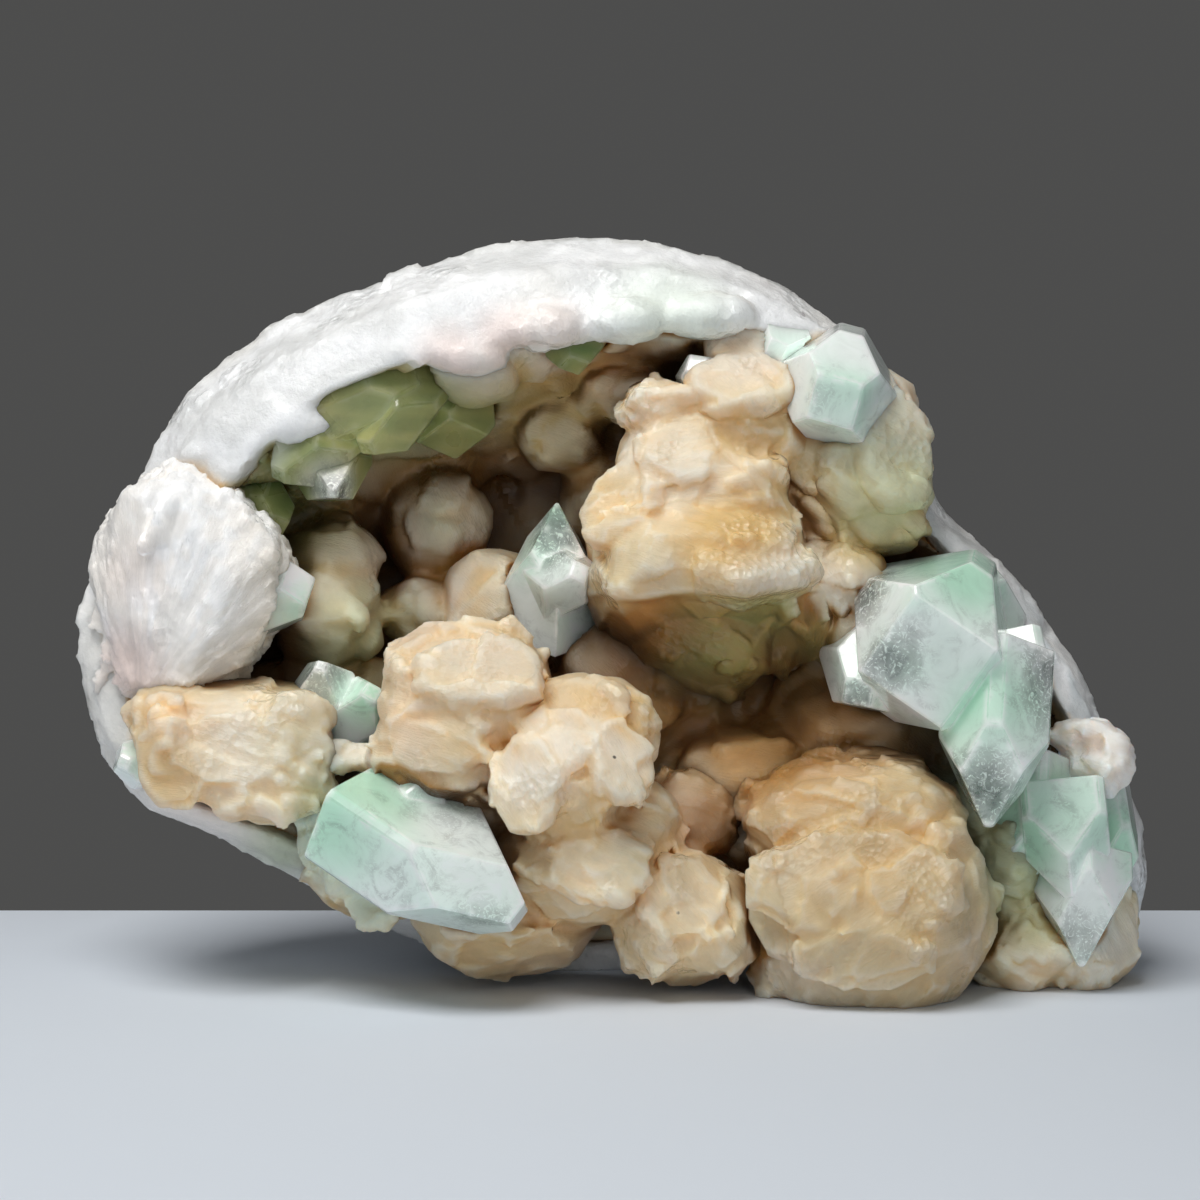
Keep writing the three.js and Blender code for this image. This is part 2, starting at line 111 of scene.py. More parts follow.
# Broad flat plates of stilbite: middle, the way they face, and half sizes across, up and through. Each ring
# of a plate's corners has a level through it and a size.
PLATE_CORNERS = 8
PLATE_CORNER_REACH = 1.08
PLATE_RINGS = ((-1, 0.8), (0.3, 1.0), (1, 0.86))
PLATES = {
    "stilbite_upper_mass": [
        ((27, -28, 85), (0.2, -0.55, 0.8), (14, 7, 4)), ((2, -21, 97), (-0.6, -0.6, 0.5), (9, 10, 4)),
        ((15, -19, 107), (0.15, -0.8, 0.55), (12, 8, 4)), ((25, -16, 120), (0, -0.7, 0.7), (11, 7, 4)),
        ((54, -15, 108), (0.45, -0.85, 0.3), (8, 12, 4)), ((41, -13, 86), (0.3, -0.8, 0.5), (7, 3, 2.5)),
    ],
    "stilbite_lower_mass": [
        ((-11, -39, 52), (-0.2, -0.8, 0.55), (9, 7, 3.5)),
        ((-17, -42, 44), (-0.35, -0.9, 0.15), (8, 10, 3.5)),
        ((-27, -35, 64), (0.05, -0.75, 0.65), (13, 8, 4)),
        ((-35, -37, 53), (-0.2, -0.95, 0.1), (11, 8, 3.5)), ((0, -41, 48), (0.4, -0.8, 0.4), (7, 9, 3.5)),
        ((-4, -38, 28), (0.15, -0.95, 0.2), (11, 8, 3.5)), ((13, -33, 20), (0, -0.9, 0.4), (9, 9, 4)),
        ((-53, -26, 48), (0.1, -0.85, 0.5), (9, 3, 2)), ((-59, -19, 32), (-0.5, -0.8, 0.2), (6, 9, 1.6)),
        ((-54, -22, 27), (-0.45, -0.8, 0.15), (7, 9, 1.6)),
        ((-48, -25, 21), (-0.4, -0.85, 0.1), (7, 8, 1.6)),
    ],
    "stilbite_ball": [
        ((46, -40, 24), (-0.05, -0.93, 0.35), (21, 11, 3.5)),
        ((65, -34, 23), (0.7, -0.7, 0.2), (9, 12, 3.5)), ((34, -36, 20), (-0.6, -0.8, 0.1), (9, 11, 3.5)),
        ((47, -21, 41), (0, -0.5, 0.85), (16, 9, 4)), ((48, -43, 11), (-0.1, -0.94, -0.3), (14, 7, 3)),
    ],
    "stilbite_block_left": [
        ((-76, -32, 50), (0.05, -0.95, 0.25), (13, 8, 3.5)),
        ((-64, -30, 52), (0.4, -0.9, 0.1), (7, 9, 3)), ((-86, -31, 47), (-0.3, -0.9, 0.2), (8, 9, 3)),
    ],
}

# Patches of colour, painted highlight and painted shade: middle, reach and strength.
# Pale pearly patches, partly painted highlight where the surface glints.
WHITE_AND_HIGHLIGHT_PATCHES = [
    (29, -31, 85, 11, 0.95), (3, -18, 110, 8, 0.8), (14, -22, 106, 14, 0.6), (10, -28, 84, 7, 0.6),
    (-11, -41, 52, 10, 0.9), (-16, -44, 44, 10, 0.9), (0, -42, 49, 10, 0.8), (12, -36, 20, 10, 0.4),
    (55, -17, 108, 15, 0.8), (-54, -22, 26, 17, 1.0), (21, -20, 128, 10, 0.5), (0, -22, 122, 10, 0.7),
    (96, -18, 8, 15, 0.9), (82, -22, 5, 10, 0.7), (45, -17, 82, 11, 0.8), (-27, -37, 66, 12, 0.45),
    (-53, -27, 49, 9, 0.85), (41, -13, 86, 8, 0.85), (-76, -34, 50, 14, 0.65), (-2, -40, 40, 10, 0.5),
    (38, -42, 28, 9, 0.35), (48, -46, 4, 8, 0.4), (-4, -38, 26, 12, 0.3),
]
HONEY_PATCHES = [
    (21, -31, 93, 13, 0.8), (22, -14, 114, 10, 0.6), (52, -10, 92, 16, 0.8), (-8, -38, 38, 12, 0.5),
    (36, -40, 18, 10, 0.4), (55, -44, 16, 9, 0.45), (30, -14, 50, 18, 0.8), (10, -10, 58, 16, 0.7),
    (-88, -32, 44, 10, 0.4), (47, -30, 30, 30, 0.4), (12, -30, 20, 14, 0.3),
]
# Painted shade: orange in the gaps and deep recesses.
ORANGE_SHADE_PATCHES = [
    (34, -12, 50, 26, 0.8), (48, -6, 94, 14, 0.6), (5, -14, 54, 14, 0.75), (13, -15, 34, 13, 0.95),
    (-2, 2, 128, 14, 0.4), (-58, -18, 66, 9, 0.4), (-22, -20, 14, 8, 0.3), (22, -26, 8, 8, 0.4),
]
ROSE_PATCHES = [
    (-33, -18, 126, 9, 0.9), (-22, -18, 130, 9, 0.9), (-12, -18, 133, 7, 0.6), (-31, -12, 121, 10, 0.8),
    (-12, -10, 126, 9, 0.5), (-84, -20, 37, 11, 0.7),
]
GLINT_PATCHES = [
    (30, -30, 85, 15, 1.0), (1, -20, 116, 8, 1.0), (0, -24, 84, 8, 0.7), (-76, -34, 50, 15, 0.35),
    (-11, -40, 44, 10, 0.5), (45, -14, 84, 10, 1.0), (-24, -36, 66, 8, 0.6), (60, -44, 20, 12, 0.5),
    (36, -40, 32, 9, 0.5), (56, -18, 106, 10, 0.5), (-60, -10, 72, 6, 0.9),
]
# Painted shade: brown in the darkest gaps.
GAP_SHADE_PATCHES = [(13, -15, 34, 11, 0.9), (34, -12, 56, 12, 0.5), (50, -5, 93, 12, 0.2), (4, -16, 40, 8, 0.5)]
PETAL_PATCHES = [(-58, -22, 30, 13, 0.9), (-50, -27, 21, 10, 0.8)]
MINT_BAND = [(10, -16, 134, 16, 0.45)]
MOSS_PATCHES = [(-69, -12, 29, 13, 0.9)]
SHELL_PATCHES = [(-85, -14, 36, 17, 0.9)]
SHEAF_ROSE = [(-100, -26, 64, 13, 0.9), (-97, -26, 84, 10, 0.3)]

# The ledge under which the central mass draws back: its height, its overhang, the slope under it, and where
# it fades in depth and to the right.
LEDGE_HEIGHT = 80.5
LEDGE_OVERHANG = 2.4
LEDGE_SLOPE = 0.6
LEDGE_FADE = (4, 20)
LEDGE_RIGHT = 44

# The bed that the rind leaves for the white sheaf, and the wing at its right with streaks.
SHEAF_BED = [(-86, -20, 84, 24, 1.0)]
SHEAF_BED_DEPTH = 4.0
WING = (55, 80)

# How each solid becomes a piece: its new name, its slot, the mesh pitch, the rounds of softening and
# the blades on it.
STONES = {
    "geode_rind": ("rind_broken", "rind", 1.25, 5, ()),
    "stilbite_crust": ("crust_of_stilbite", "crust", 1.12, 1, ()),
    "stilbite_upper_mass": ("upper_stilbite", "stilbite", 0.6, 3, (BLADES,)),
    "stilbite_lower_mass": ("lower_stilbite", "stilbite", 0.6, 3, (BLADES,)),
    "stilbite_ball": ("ball_of_stilbite", "stilbite", 0.55, 3, (BLADES,)),
    "stilbite_block_left": ("block_of_stilbite", "stilbite", 0.6, 3, (BLADES,)),
    "stilbite_sheaf_left": ("white_sheaf", "white_stilbite", 0.6, 4, (TEETH,)),
    "stilbite_foot_right": ("foot_of_stilbite", "stilbite", 0.55, 4, (SMALL_BLADES,)),
    "stilbite_knob_right": ("cream_knob", "white_stilbite", 0.5, 4, (SMALL_BLADES,)),
}

# The way the thin plates of each sheaf are stacked, from the sheaf's middle point.
SHEAVES = [
    ((16, -15, 88), (0.25, 0.2, 0.95)), ((12, -11, 104), (-0.1, 0.3, 0.95)),
    ((16, -17, 68), (0.5, 0.1, 0.85)), ((33, -12, 76), (0.9, 0.2, 0.4)), ((27, -8, 114), (0.7, 0.1, 0.7)),
    ((50, -7, 106), (0.6, 0.2, 0.8)), ((-30, -26, 61), (0.1, 0.35, 0.93)),
    ((-36, -30, 49), (0.3, 0.1, 0.95)), ((-9, -32, 48), (0.85, 0.3, 0.4)), ((-8, -26, 28), (0.4, 0.2, 0.9)),
    ((-23, -19, 14), (0.1, 0.2, 0.97)), ((-50, -13, 22), (-0.5, 0.2, 0.85)),
    ((14, -25, 15), (0.8, 0.3, 0.5)), ((46, -12, 34), (0.2, 0.4, 0.9)), ((50, -27, 17), (-0.55, 0.25, 0.8)),
    ((-77, -22, 50), (0.25, 0.35, 0.9)), ((82, -14, 8), (0.4, 0.3, 0.85)), ((95, -9, 10), (0.8, 0.2, 0.5)),
    ((94, -15, 46), (0.3, 0.3, 0.9)), ((-38, 17, 92), (0.9, 0.2, 0.3)), ((-59, 2, 78), (0.3, 0.3, 0.9)),
    ((-24, 4, 76), (0.7, 0.3, 0.6)), ((-12, 16, 112), (0.2, 0.3, 0.9)), ((48, 8, 94), (0.5, 0.5, 0.7)),
    ((0, -4, 61), (0.8, 0.1, 0.6)), ((26, -6, 43), (0.2, 0.4, 0.9)), ((50, -2, 52), (0.4, 0.3, 0.85)),
]

# Round lumps: middle and half sizes.
LUMPS = {
    "geode_rind": [
        ((-64, -15, 113.5), (8, 6, 4)), ((-30, -15, 127), (9, 6, 4)), ((-15, -15, 132.5), (10, 6, 4.5)),
        ((2, -14, 134), (9, 7, 5)), ((18, -12, 135), (10, 7, 5)),
    ],
    "stilbite_ball": [
        ((47, -23, 35), (23, 15, 12)),
    ],
    "stilbite_foot_right": [
        ((79, -15, 25), (8, 9, 12)), ((74, -12, 36), (7, 8, 9)),
    ],
    "stilbite_lower_mass": [
        ((3, -24, 35), (10, 9, 9)), ((15, -15, 34), (10, 8, 11)), ((-12, -30, 38), (12, 8, 10)),
        ((-30, -25, 58), (14, 9, 10)), ((-26, -24, 40), (10, 9, 10)),
    ],
    "stilbite_upper_mass": [
        ((40, -7, 108), (11, 9, 13)), ((18, -17, 97), (17, 9, 14)), ((46, -12, 82), (8, 8, 8)),
        ((42, -6, 96), (10, 8, 12)), ((47, -12, 70), (7, 7, 8)),
    ],
}

# Frosted yellow-green stilbite, and the white fan in the cut sheaf.
FROST_PATCHES = [
    (78, -20, 26, 16, 0.85), (74, -16, 38, 12, 0.8), (54, -18, 102, 15, 0.8), (-50, -6, 72, 14, 0.5),
    (-38, 2, 92, 8, 0.4),
]
FAN_PATCHES = [
    (-84, -27, 94, 20, 1.0), (-88, -28, 78, 15, 1.0), (-92, -28, 66, 9, 0.8), (-101, -26, 74, 8, 0.5),
]

# How dark some pieces are, how strong their relief is, and where the white fan's beige margin runs.
SHADES = {"stilbite_ball": 0.84}
STRENGTHS = {"stilbite_crust": 1.25, "stilbite_knob_right": 1.25, "stilbite_ball": 0.8}
FAN_MARGIN = (-78, -66)

# Olive tint, partly painted shade under the central ledge, on undersides and in crevices.
OLIVE_AND_SHADE_PATCHES = [
    (24, -22, 68, 19, 1.0), (28, -27, 75, 12, 0.9), (38, -22, 66, 14, 0.9), (52, -16, 96, 15, 0.55),
    (56, -17, 108, 12, 0.35), (-60, -12, 108, 26, 1.0), (-40, -8, 113, 26, 1.0), (-66, 0, 96, 18, 0.8),
    (-50, 0, 68, 15, 0.7), (-38, 4, 82, 9, 0.35), (-14, 8, 116, 16, 0.5), (-46, -4, 58, 14, 0.6),
    (82, -18, 16, 15, 0.8), (76, -16, 24, 16, 0.7), (74, -12, 60, 20, 0.6), (-46, -16, 26, 12, 0.4),
]

CREAM = (0.90, 0.78, 0.53)
PEACH = (0.86, 0.62, 0.34)
HONEY = (0.77, 0.49, 0.16)
# Painted shade colours: orange for crevices, valleys and gaps, brown for the deepest hollow and gaps.
SHADE_ORANGE = (0.64, 0.30, 0.08)
SHADE_BROWN = (0.22, 0.10, 0.03)
OLIVE = (0.40, 0.42, 0.15)
WHITE = (0.93, 0.92, 0.90)
PEARL = (0.96, 0.91, 0.80)
ROSE = (0.88, 0.72, 0.67)
GREY = (0.62, 0.63, 0.62)
BAND = (0.80, 0.81, 0.81)
MINT = (0.72, 0.86, 0.70)
FROST = (0.76, 0.79, 0.55)
MOSS = (0.532, 0.5925, 0.44)
SHELL = (0.90, 0.83, 0.78)
SNOW = (0.95, 0.96, 0.97)
PIT = (0.25, 0.24, 0.23)
STREAK_GREY = (0.74, 0.79, 0.81)
STREAK_WHITE = (0.99, 0.99, 1.0)
BEIGE = (0.95, 0.90, 0.84)
TAN = (0.86, 0.79, 0.69)
FAN_WHITE = (0.98, 0.99, 1.0)
# Whitened crystal edges: part frost, part painted highlight.
EDGE_FROST_AND_HIGHLIGHT = (0.96, 0.96, 0.96)
SPECK = (0.05, 0.04, 0.03, 1)

# Smooth noise and blocks: the size across in millimetres, and the seed of the random numbers.
NOISES = {
    "sheaf_border": (13, 3), "stack_wave": (7, 11), "facet_wave": (12, 17), "roughness": (15, 71),
    "low": (17, 5), "ledge": (11, 93), "wide": (24, 8), "patch_edge": (9, 14),
    "facets": ((13, 13, 11), 21), "chips": ((8.5, 8.5, 2.6), 35),
    "fan_wide": ((2.6, 15.0, 6.0), 41), "fan_fine": ((1.1, 7.0, 3.0), 47), "sheaf_small": (6, 6),
    "fan_margin": (12, 8), "stroke": (2.6, 51), "stroke_wave": (9, 52), "fan_edge": (8, 53),
    "rind_wave": (9, 4), "rind_steps": ((13, 13, 10), 61), "rind_fine_wave": (5, 4),
    "rind_chips": ((4.5, 4.5, 4.5), 67), "pit_wave": (5, 9), "pits": ((8, 8, 8), 73),
    "rind_low": (19, 5), "rind_wide": (22, 8), "cloud_wave": (6, 31), "cloud": ((14, 8, 7), 32),
    "skin": (8, 12), "streak": ((3, 3, 9), 36), "streak_wave": (7, 37),
    "crystal_cloud": (9, 33), "crystal_band": ((9, 9, 1.6), 34),
}
NOISE_SHIFT = 31.7
BLOCK_SHIFT = 57.3
BLOCK_MARGIN = 0.12

# How much the flat tops of blocks tilt, and how far they step up or down.
FACETS = {"facets": (2.8, 0.4), "chips": (1.6, 0.7), "rind_steps": (1.5, 0.9), "rind_chips": (0.9, 0.3)}
STACK_STEP = 13.0

# The primes of a usual hash of whole numbers.
CELL_PRIMES = (73856093, 19349663, 83492791)
SEED_PRIME = 2654435761
ROUND_PRIME = 2246822519


def metres(*values):
    return Vector(values) * MM


def points_of(mesh):
    flat = np.zeros(len(mesh.vertices) * 3, np.float32)
    mesh.vertices.foreach_get("co", flat)
    return flat.reshape(-1, 3).astype(float) / MM


# Random numbers, smooth noise and blocks, all worked out from the place alone

def hashed(cell, seed):
    """Three random numbers from 0 to 1 for each whole-numbered cell."""
    c = cell.astype(np.int64).astype(np.uint64)
    bits = np.uint64(seed * SEED_PRIME % 2**32)
    for axis, prime in enumerate(CELL_PRIMES):
        bits = bits ^ c[..., axis] * np.uint64(prime)
    found = []
    for k in range(3):
        bits = (bits ^ (bits >> np.uint64(15))) * np.uint64(ROUND_PRIME) + np.uint64(k * 101 + 7)
        bits = bits & np.uint64(0xFFFFFFFF)
        found.append(((bits ^ (bits >> np.uint64(13))) & np.uint64(0xFFFFF)) / float(0xFFFFF))
    return np.stack(found, -1)


def corner_weights(share):
    """The eight corners of a cell, and how much each counts for points at that share of the way across it."""
    for step in product((0, 1), repeat=3):
        weight = np.ones(len(share))
        for axis in range(3):
            weight = weight * (share[:, axis] if step[axis] else 1 - share[:, axis])
        yield np.array(step), weight


def swell(points, name):
    """Smooth noise from -1 to 1 of the named size, in three channels."""
    size, seed = NOISES[name]
    q = points / np.array(size) + NOISE_SHIFT
    base = np.floor(q)
    share = q - base
    share = share * share * (3 - 2 * share)
    total = np.zeros((len(points), 3))
    for step, weight in corner_weights(share):
        total += weight[:, None] * hashed(base + step, seed)
    return total * 2 - 1


def blocks(points, name):
    """The nearest of a loose grid of seeds: how far the point is from it in block sizes, and three random
    numbers for that block."""
    size, seed = NOISES[name]
    q = points / np.array(size) + BLOCK_SHIFT
    base = np.floor(q)
    nearest = np.full(len(q), np.inf)
    offset = np.zeros((len(q), 3))
    chosen = np.zeros((len(q), 3))
    for step in product((-1, 0, 1), repeat=3):
        cell = base + np.array(step)
        away = q - (cell + BLOCK_MARGIN + (1 - 2 * BLOCK_MARGIN) * hashed(cell, seed))
        distance = np.linalg.norm(away, axis=1)
        closer = distance < nearest
        nearest[closer] = distance[closer]
        offset[closer] = away[closer]
        chosen[closer] = cell[closer]
    return offset, hashed(chosen, seed + 1)


def faceted(points, name):
    """The height of each block's flat top, tilted and stepped at random, and the block's random numbers."""
    tilt, step = FACETS[name]
    offset, chance = blocks(points, name)
    return tilt * ((chance - 0.5) * offset).sum(1) + step * (chance[:, 0] - 0.5), chance


def mixed(a, b, share):
    share = np.clip(share, 0, 1)[:, None]
    return np.asarray(a) * (1 - share) + np.asarray(b) * share


def layered(colour, *layers):
    """The colour with each layer's colour mixed in by the layer's share, in order."""
    for other, share in layers:
        colour = mixed(colour, other, share)
    return colour


def ramp(value, low, high):
    share = np.clip((value - low) / (high - low), 0, 1)
    return share * share * (3 - 2 * share)


def turned(direction):
    """A rotation whose third axis is that direction."""
    w = np.array(direction, float)
    w /= np.linalg.norm(w)
    u = np.cross((0.13, 0.98, 0.17), w)
    u /= np.linalg.norm(u)
    return np.stack([u, np.cross(w, u), w])


# How solid the surroundings are, from a map of all the CAD solids, for crevices and hollows

def solid_map():
    low = np.array(cad_box[0]) / MM - MAP_MARGIN
    high = np.array(cad_box[1]) / MM + MAP_MARGIN
    count = np.ceil((high - low) / MAP_PITCH).astype(int)
    filled = np.zeros(count)
    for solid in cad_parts.values():
        corners = points_of(solid.data)
        tree = BVHTree.FromPolygons(corners.tolist(), [p.vertices for p in solid.data.polygons])
        first = np.floor((corners.min(0) - low) / MAP_PITCH).astype(int)
        last = np.ceil((corners.max(0) - low) / MAP_PITCH).astype(int)
        for i in range(first[0], last[0] + 1):
            for k in range(first[2], last[2] + 1):
                across, up = i * MAP_PITCH + RAY_SHIFT[0], k * MAP_PITCH + RAY_SHIFT[1]
                start = Vector((low[0] + across, low[1] - 1, low[2] + up))
                crossings = []
                while len(crossings) < MOST_CROSSINGS:
                    hit = tree.ray_cast(start, Vector((0, 1, 0)))[0]
                    if hit is None:
                        break
                    crossings.append(hit.y)
                    start = Vector((start.x, hit.y + RAY_STEP, start.z))
                for enter, leave in zip(crossings[::2], crossings[1::2]):
                    a = int(math.ceil((enter - low[1]) / MAP_PITCH))
                    b = int(math.floor((leave - low[1]) / MAP_PITCH))
                    filled[i, a : b + 1, k] = 1
    return low, filled


def blurred(filled, reach):
    """The map averaged over about reach millimetres."""
    spread = np.fft.rfftn(filled)
    waves = [np.fft.fftfreq(n) for n in filled.shape[:2]] + [np.fft.rfftfreq(filled.shape[2])]
    squares = waves[0][:, None, None] ** 2 + waves[1][None, :, None] ** 2 + waves[2][None, None, :] ** 2
    spread *= np.exp(-2 * math.pi**2 * (reach / MAP_PITCH) ** 2 * squares)
    return np.fft.irfftn(spread, s=filled.shape)


def sampled(field, points):
    """The map's value at each point."""
    q = np.clip((points - map_low) / MAP_PITCH, 0, np.array(field.shape) - 2.001)
    base = np.floor(q).astype(int)
    total = np.zeros(len(points))
    for step, weight in corner_weights(q - base):
        total += weight * field[tuple((base + step).T)]
    return total


map_low, map_filled = solid_map()
near_map = blurred(map_filled, NEAR_REACH)
far_map = blurred(map_filled, FAR_REACH)


def rind_reach():
    """The rind's reach from its heart at each turn, seen from the front."""
    corners = points_of(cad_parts["geode_rind"].data)
    turns = np.linspace(-math.pi, math.pi, RIND_TURNS + 1)
    out = corners[:, ::2] - np.array(HEART)
    angle, reach = np.arctan2(out[:, 1], out[:, 0]), np.hypot(out[:, 0], out[:, 1])
    gap = np.abs((angle[None] - turns[:, None] + math.pi) % (2 * math.pi) - math.pi)
    return turns, np.where(gap < RIND_SECTOR, reach[None], 0).max(1)


rind_turns, rind_reaches = rind_reach()


def inside_rind(points):
    """True where a point stays well inside the rind's outline, seen from the front."""
    out = points[:, ::2] - np.array(HEART)
    limit = np.interp(np.arctan2(out[:, 1], out[:, 0]), rind_turns, rind_reaches)
    return np.hypot(out[:, 0], out[:, 1]) < limit - RIND_MARGIN


def openness(points, least):
    """From 1 in the open down to least where solids crowd round the point."""
    return np.clip((0.5 - sampled(near_map, points)) / 0.16, least, 1)


# Meshes

def normals_of(mesh):
    flat = np.zeros(len(mesh.vertices) * 3, np.float32)
    mesh.vertex_normals.foreach_get("vector", flat)
    return flat.reshape(-1, 3).astype(float)


def set_points(mesh, points):
    mesh.vertices.foreach_set("co", (points * MM).astype(np.float32).ravel())
    mesh.update()


def linked(name, mesh):
    piece = bpy.data.objects.new(name, mesh)
    bpy.context.scene.collection.objects.link(piece)
    return piece


def surface_spots(mesh, spacing, chance):
    """Spots scattered over a mesh, one for each square of that spacing, and the way they face."""
    mesh.calc_loop_triangles()
    corners = points_of(mesh)
    faces = np.array([tuple(t.vertices) for t in mesh.loop_triangles])
    a, b, c = (corners[faces[:, k]] for k in range(3))
    across = np.cross(b - a, c - a)
    area = np.linalg.norm(across, axis=1) / 2
    count = int(area.sum() / spacing**2)
    chosen = chance.choice(len(faces), count, p=area / area.sum())
    u, v = chance.random(count), chance.random(count)
    over = u + v > 1
    u[over], v[over] = 1 - u[over], 1 - v[over]
    spots = a[chosen] + u[:, None] * (b - a)[chosen] + v[:, None] * (c - a)[chosen]
    return spots, across[chosen] / (2 * area[chosen][:, None])


def unit(vectors):
    return vectors / np.maximum(np.linalg.norm(vectors, axis=-1, keepdims=True), 1e-9)


def blades(spots, facing, chance, root, size):
    """Tabular crystals on the spots. They run out from their sheaf's middle, side by side like pages."""
    middles = np.array([middle for middle, _ in SHEAVES], float)
    stacks = unit(np.array([direction for _, direction in SHEAVES], float))
    nearest = np.linalg.norm(spots[:, None, :] - middles[None], axis=2).argmin(1)
    if root is None:
        along = unit(unit(spots - middles[nearest]) + 0.9 * facing + 0.16 * chance.normal(size=spots.shape))
        stack = stacks[nearest] + 0.22 * chance.normal(size=spots.shape)
    else:
        along = unit(unit(spots - np.array(root)) * (1, 0.15, 1) + 0.1 * chance.normal(size=spots.shape))
        stack = np.cross(along, (0, 1, 0)) + 0.1 * chance.normal(size=spots.shape)
    flat = (np.abs((unit(stack) * along).sum(1)) > FLAT_STACK)[:, None]
    page = unit(stack - (stack * along).sum(1)[:, None] * along)
    half_t, half_w, half_l = (chance.uniform(*size[name], len(spots))[:, None] / 2 for name in BLADE_SIZES)
    half_t, half_l = np.where(flat, half_l * 0.8, half_t), np.where(flat, half_t * 1.2, half_l)
    out = chance.uniform(*size["out"], len(spots))[:, None] * openness(spots, 0.15)[:, None]
    rooted = sampled(near_map, spots - BLADE_ROOT * half_l * along) > 0.5
    corners = []
    for l, w, t in product((-1, 1), repeat=3):
        taper = BLADE_TAPER if l > 0 else 1.0
        beside = w * taper * half_w * np.cross(along, page) + t * taper * half_t * page
        corners.append((spots + along * (out - half_l) + l * half_l * along + beside)[rooted])
    quads = np.array([(0, 1, 3, 2), (4, 6, 7, 5), (0, 4, 5, 1), (2, 3, 7, 6), (0, 2, 6, 4), (1, 5, 7, 3)])
    faces = (quads[None] + 8 * np.arange(rooted.sum())[:, None, None]).reshape(-1, 4)
    return np.stack(corners, 1).reshape(-1, 3), faces


def broad_plate(middle, facing, half):
    """A plate with its edges cut back on both sides."""
    through = unit(np.array(facing, float))
    up = unit(np.array((0, 0, 1.0)) - through[2] * through)
    across = np.cross(up, through)
    count = PLATE_CORNERS
    corners = []
    for level, size in PLATE_RINGS:
        for turn in range(count):
            angle = math.tau * (turn + 0.5) / count
            reach = size * PLATE_CORNER_REACH
            beside = half[0] * reach * math.cos(angle) * across + half[1] * reach * math.sin(angle) * up
            corners.append(np.array(middle) + beside + level * half[2] * through)
    faces = [tuple(range(count - 1, -1, -1)), tuple(range(2 * count, 3 * count))]
    for ring in (0, count):
        faces += [(ring + k, ring + (k + 1) % count, ring + count + (k + 1) % count, ring + count + k)
                  for k in range(count)]
    return np.array(corners), faces


def with_blades(mesh, seed, sizes, broad, root=None):
    """The mesh with tabular crystals pushed into its surface. The even mesh then joins them."""
    chance = np.random.default_rng(seed)
    corners = [points_of(mesh)]
    faces = [tuple(p.vertices) for p in mesh.polygons]
    grown = [broad_plate(*values) for values in broad]
    for size in sizes:
        spots, facing = surface_spots(mesh, size["spacing"], chance)
        kept = inside_rind(spots + 2 * facing)
        if size is BLADES:
            kept &= sampled(near_map, spots) < CROWDED
        if root is not None:
            kept &= (facing[:, 1] > -0.6) & ((facing[:, 0] > 0) | (facing[:, 2] > 0.3))
        more, quads = blades(spots[kept], facing[kept], chance, root, size)
        grown.append((more, quads.tolist()))
    count = len(corners[0])
    for more, sides in grown:
        faces += [tuple(count + k for k in side) for side in sides]
        corners.append(more)
        count += len(more)
    made = bpy.data.meshes.new(mesh.name)
    made.from_pydata((np.concatenate(corners) * MM).tolist(), [], faces)
    return made


def mesh_from(shape, name):
    mesh = bpy.data.meshes.new(name)
    shape.to_mesh(mesh)
    shape.free()
    return mesh


def apply_modifiers(piece):
    graph = bpy.context.evaluated_depsgraph_get()
    made = bpy.data.meshes.new_from_object(piece.evaluated_get(graph))
    piece.modifiers.clear()
    piece.data = made


def with_lumps(mesh, lumps):
    """The mesh with round lumps pushed into it."""
    shape = bmesh.new()
    shape.from_mesh(mesh)
    for middle, half in lumps:
        place = Matrix.Translation(metres(*middle)) @ Matrix.Diagonal((*metres(*half), 1))
        bmesh.ops.create_icosphere(shape, subdivisions=2, radius=1, matrix=place)
    return mesh_from(shape, mesh.name)


def edge_ends(mesh):
    """The numbers of the points at both ends of each edge."""
    pairs = np.zeros(len(mesh.edges) * 2, np.int32)
    mesh.edges.foreach_get("vertices", pairs)
    return pairs[::2], pairs[1::2]


def without_grains(mesh):
    """Takes away the small loose shells that the even mesh leaves, inside or out."""
    a, b = edge_ends(mesh)
    label = np.arange(len(mesh.vertices))
    while True:
        lowest = label.copy()
        np.minimum.at(lowest, a, label[b])
        np.minimum.at(lowest, b, label[a])
        lowest = lowest[lowest]
        if (lowest == label).all():
            break
        label = lowest
    loose = np.flatnonzero(label != np.bincount(label).argmax())
    if len(loose):
        shape = bmesh.new()
        shape.from_mesh(mesh)
        shape.verts.ensure_lookup_table()
        bmesh.ops.delete(shape, geom=[shape.verts[number] for number in loose], context="VERTS")
        shape.to_mesh(mesh)
        shape.free()


def even_copy(node, name, pitch, rounds, sizes):
    """A copy of a CAD solid with an even mesh and softened edges, and the blades that stand on it."""
    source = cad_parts[node].data
    mesh = with_lumps(source, LUMPS.get(node, []))
    mesh = with_blades(mesh, len(node), sizes, PLATES.get(node, []), SHEAF_ROOT if TEETH in sizes else None)
    piece = linked(name, mesh)
    piece.data.materials.clear()
    even = piece.modifiers.new("even", "REMESH")
    even.mode = "VOXEL"
    even.voxel_size = pitch * MM
    soft = piece.modifiers.new("soft", "SMOOTH")
    soft.factor = 0.5
    soft.iterations = rounds
    apply_modifiers(piece)
    piece.data.name = name
    without_grains(piece.data)
    return piece


def smooth_shaded(mesh):
    mesh.polygons.foreach_set("use_smooth", [True] * len(mesh.polygons))


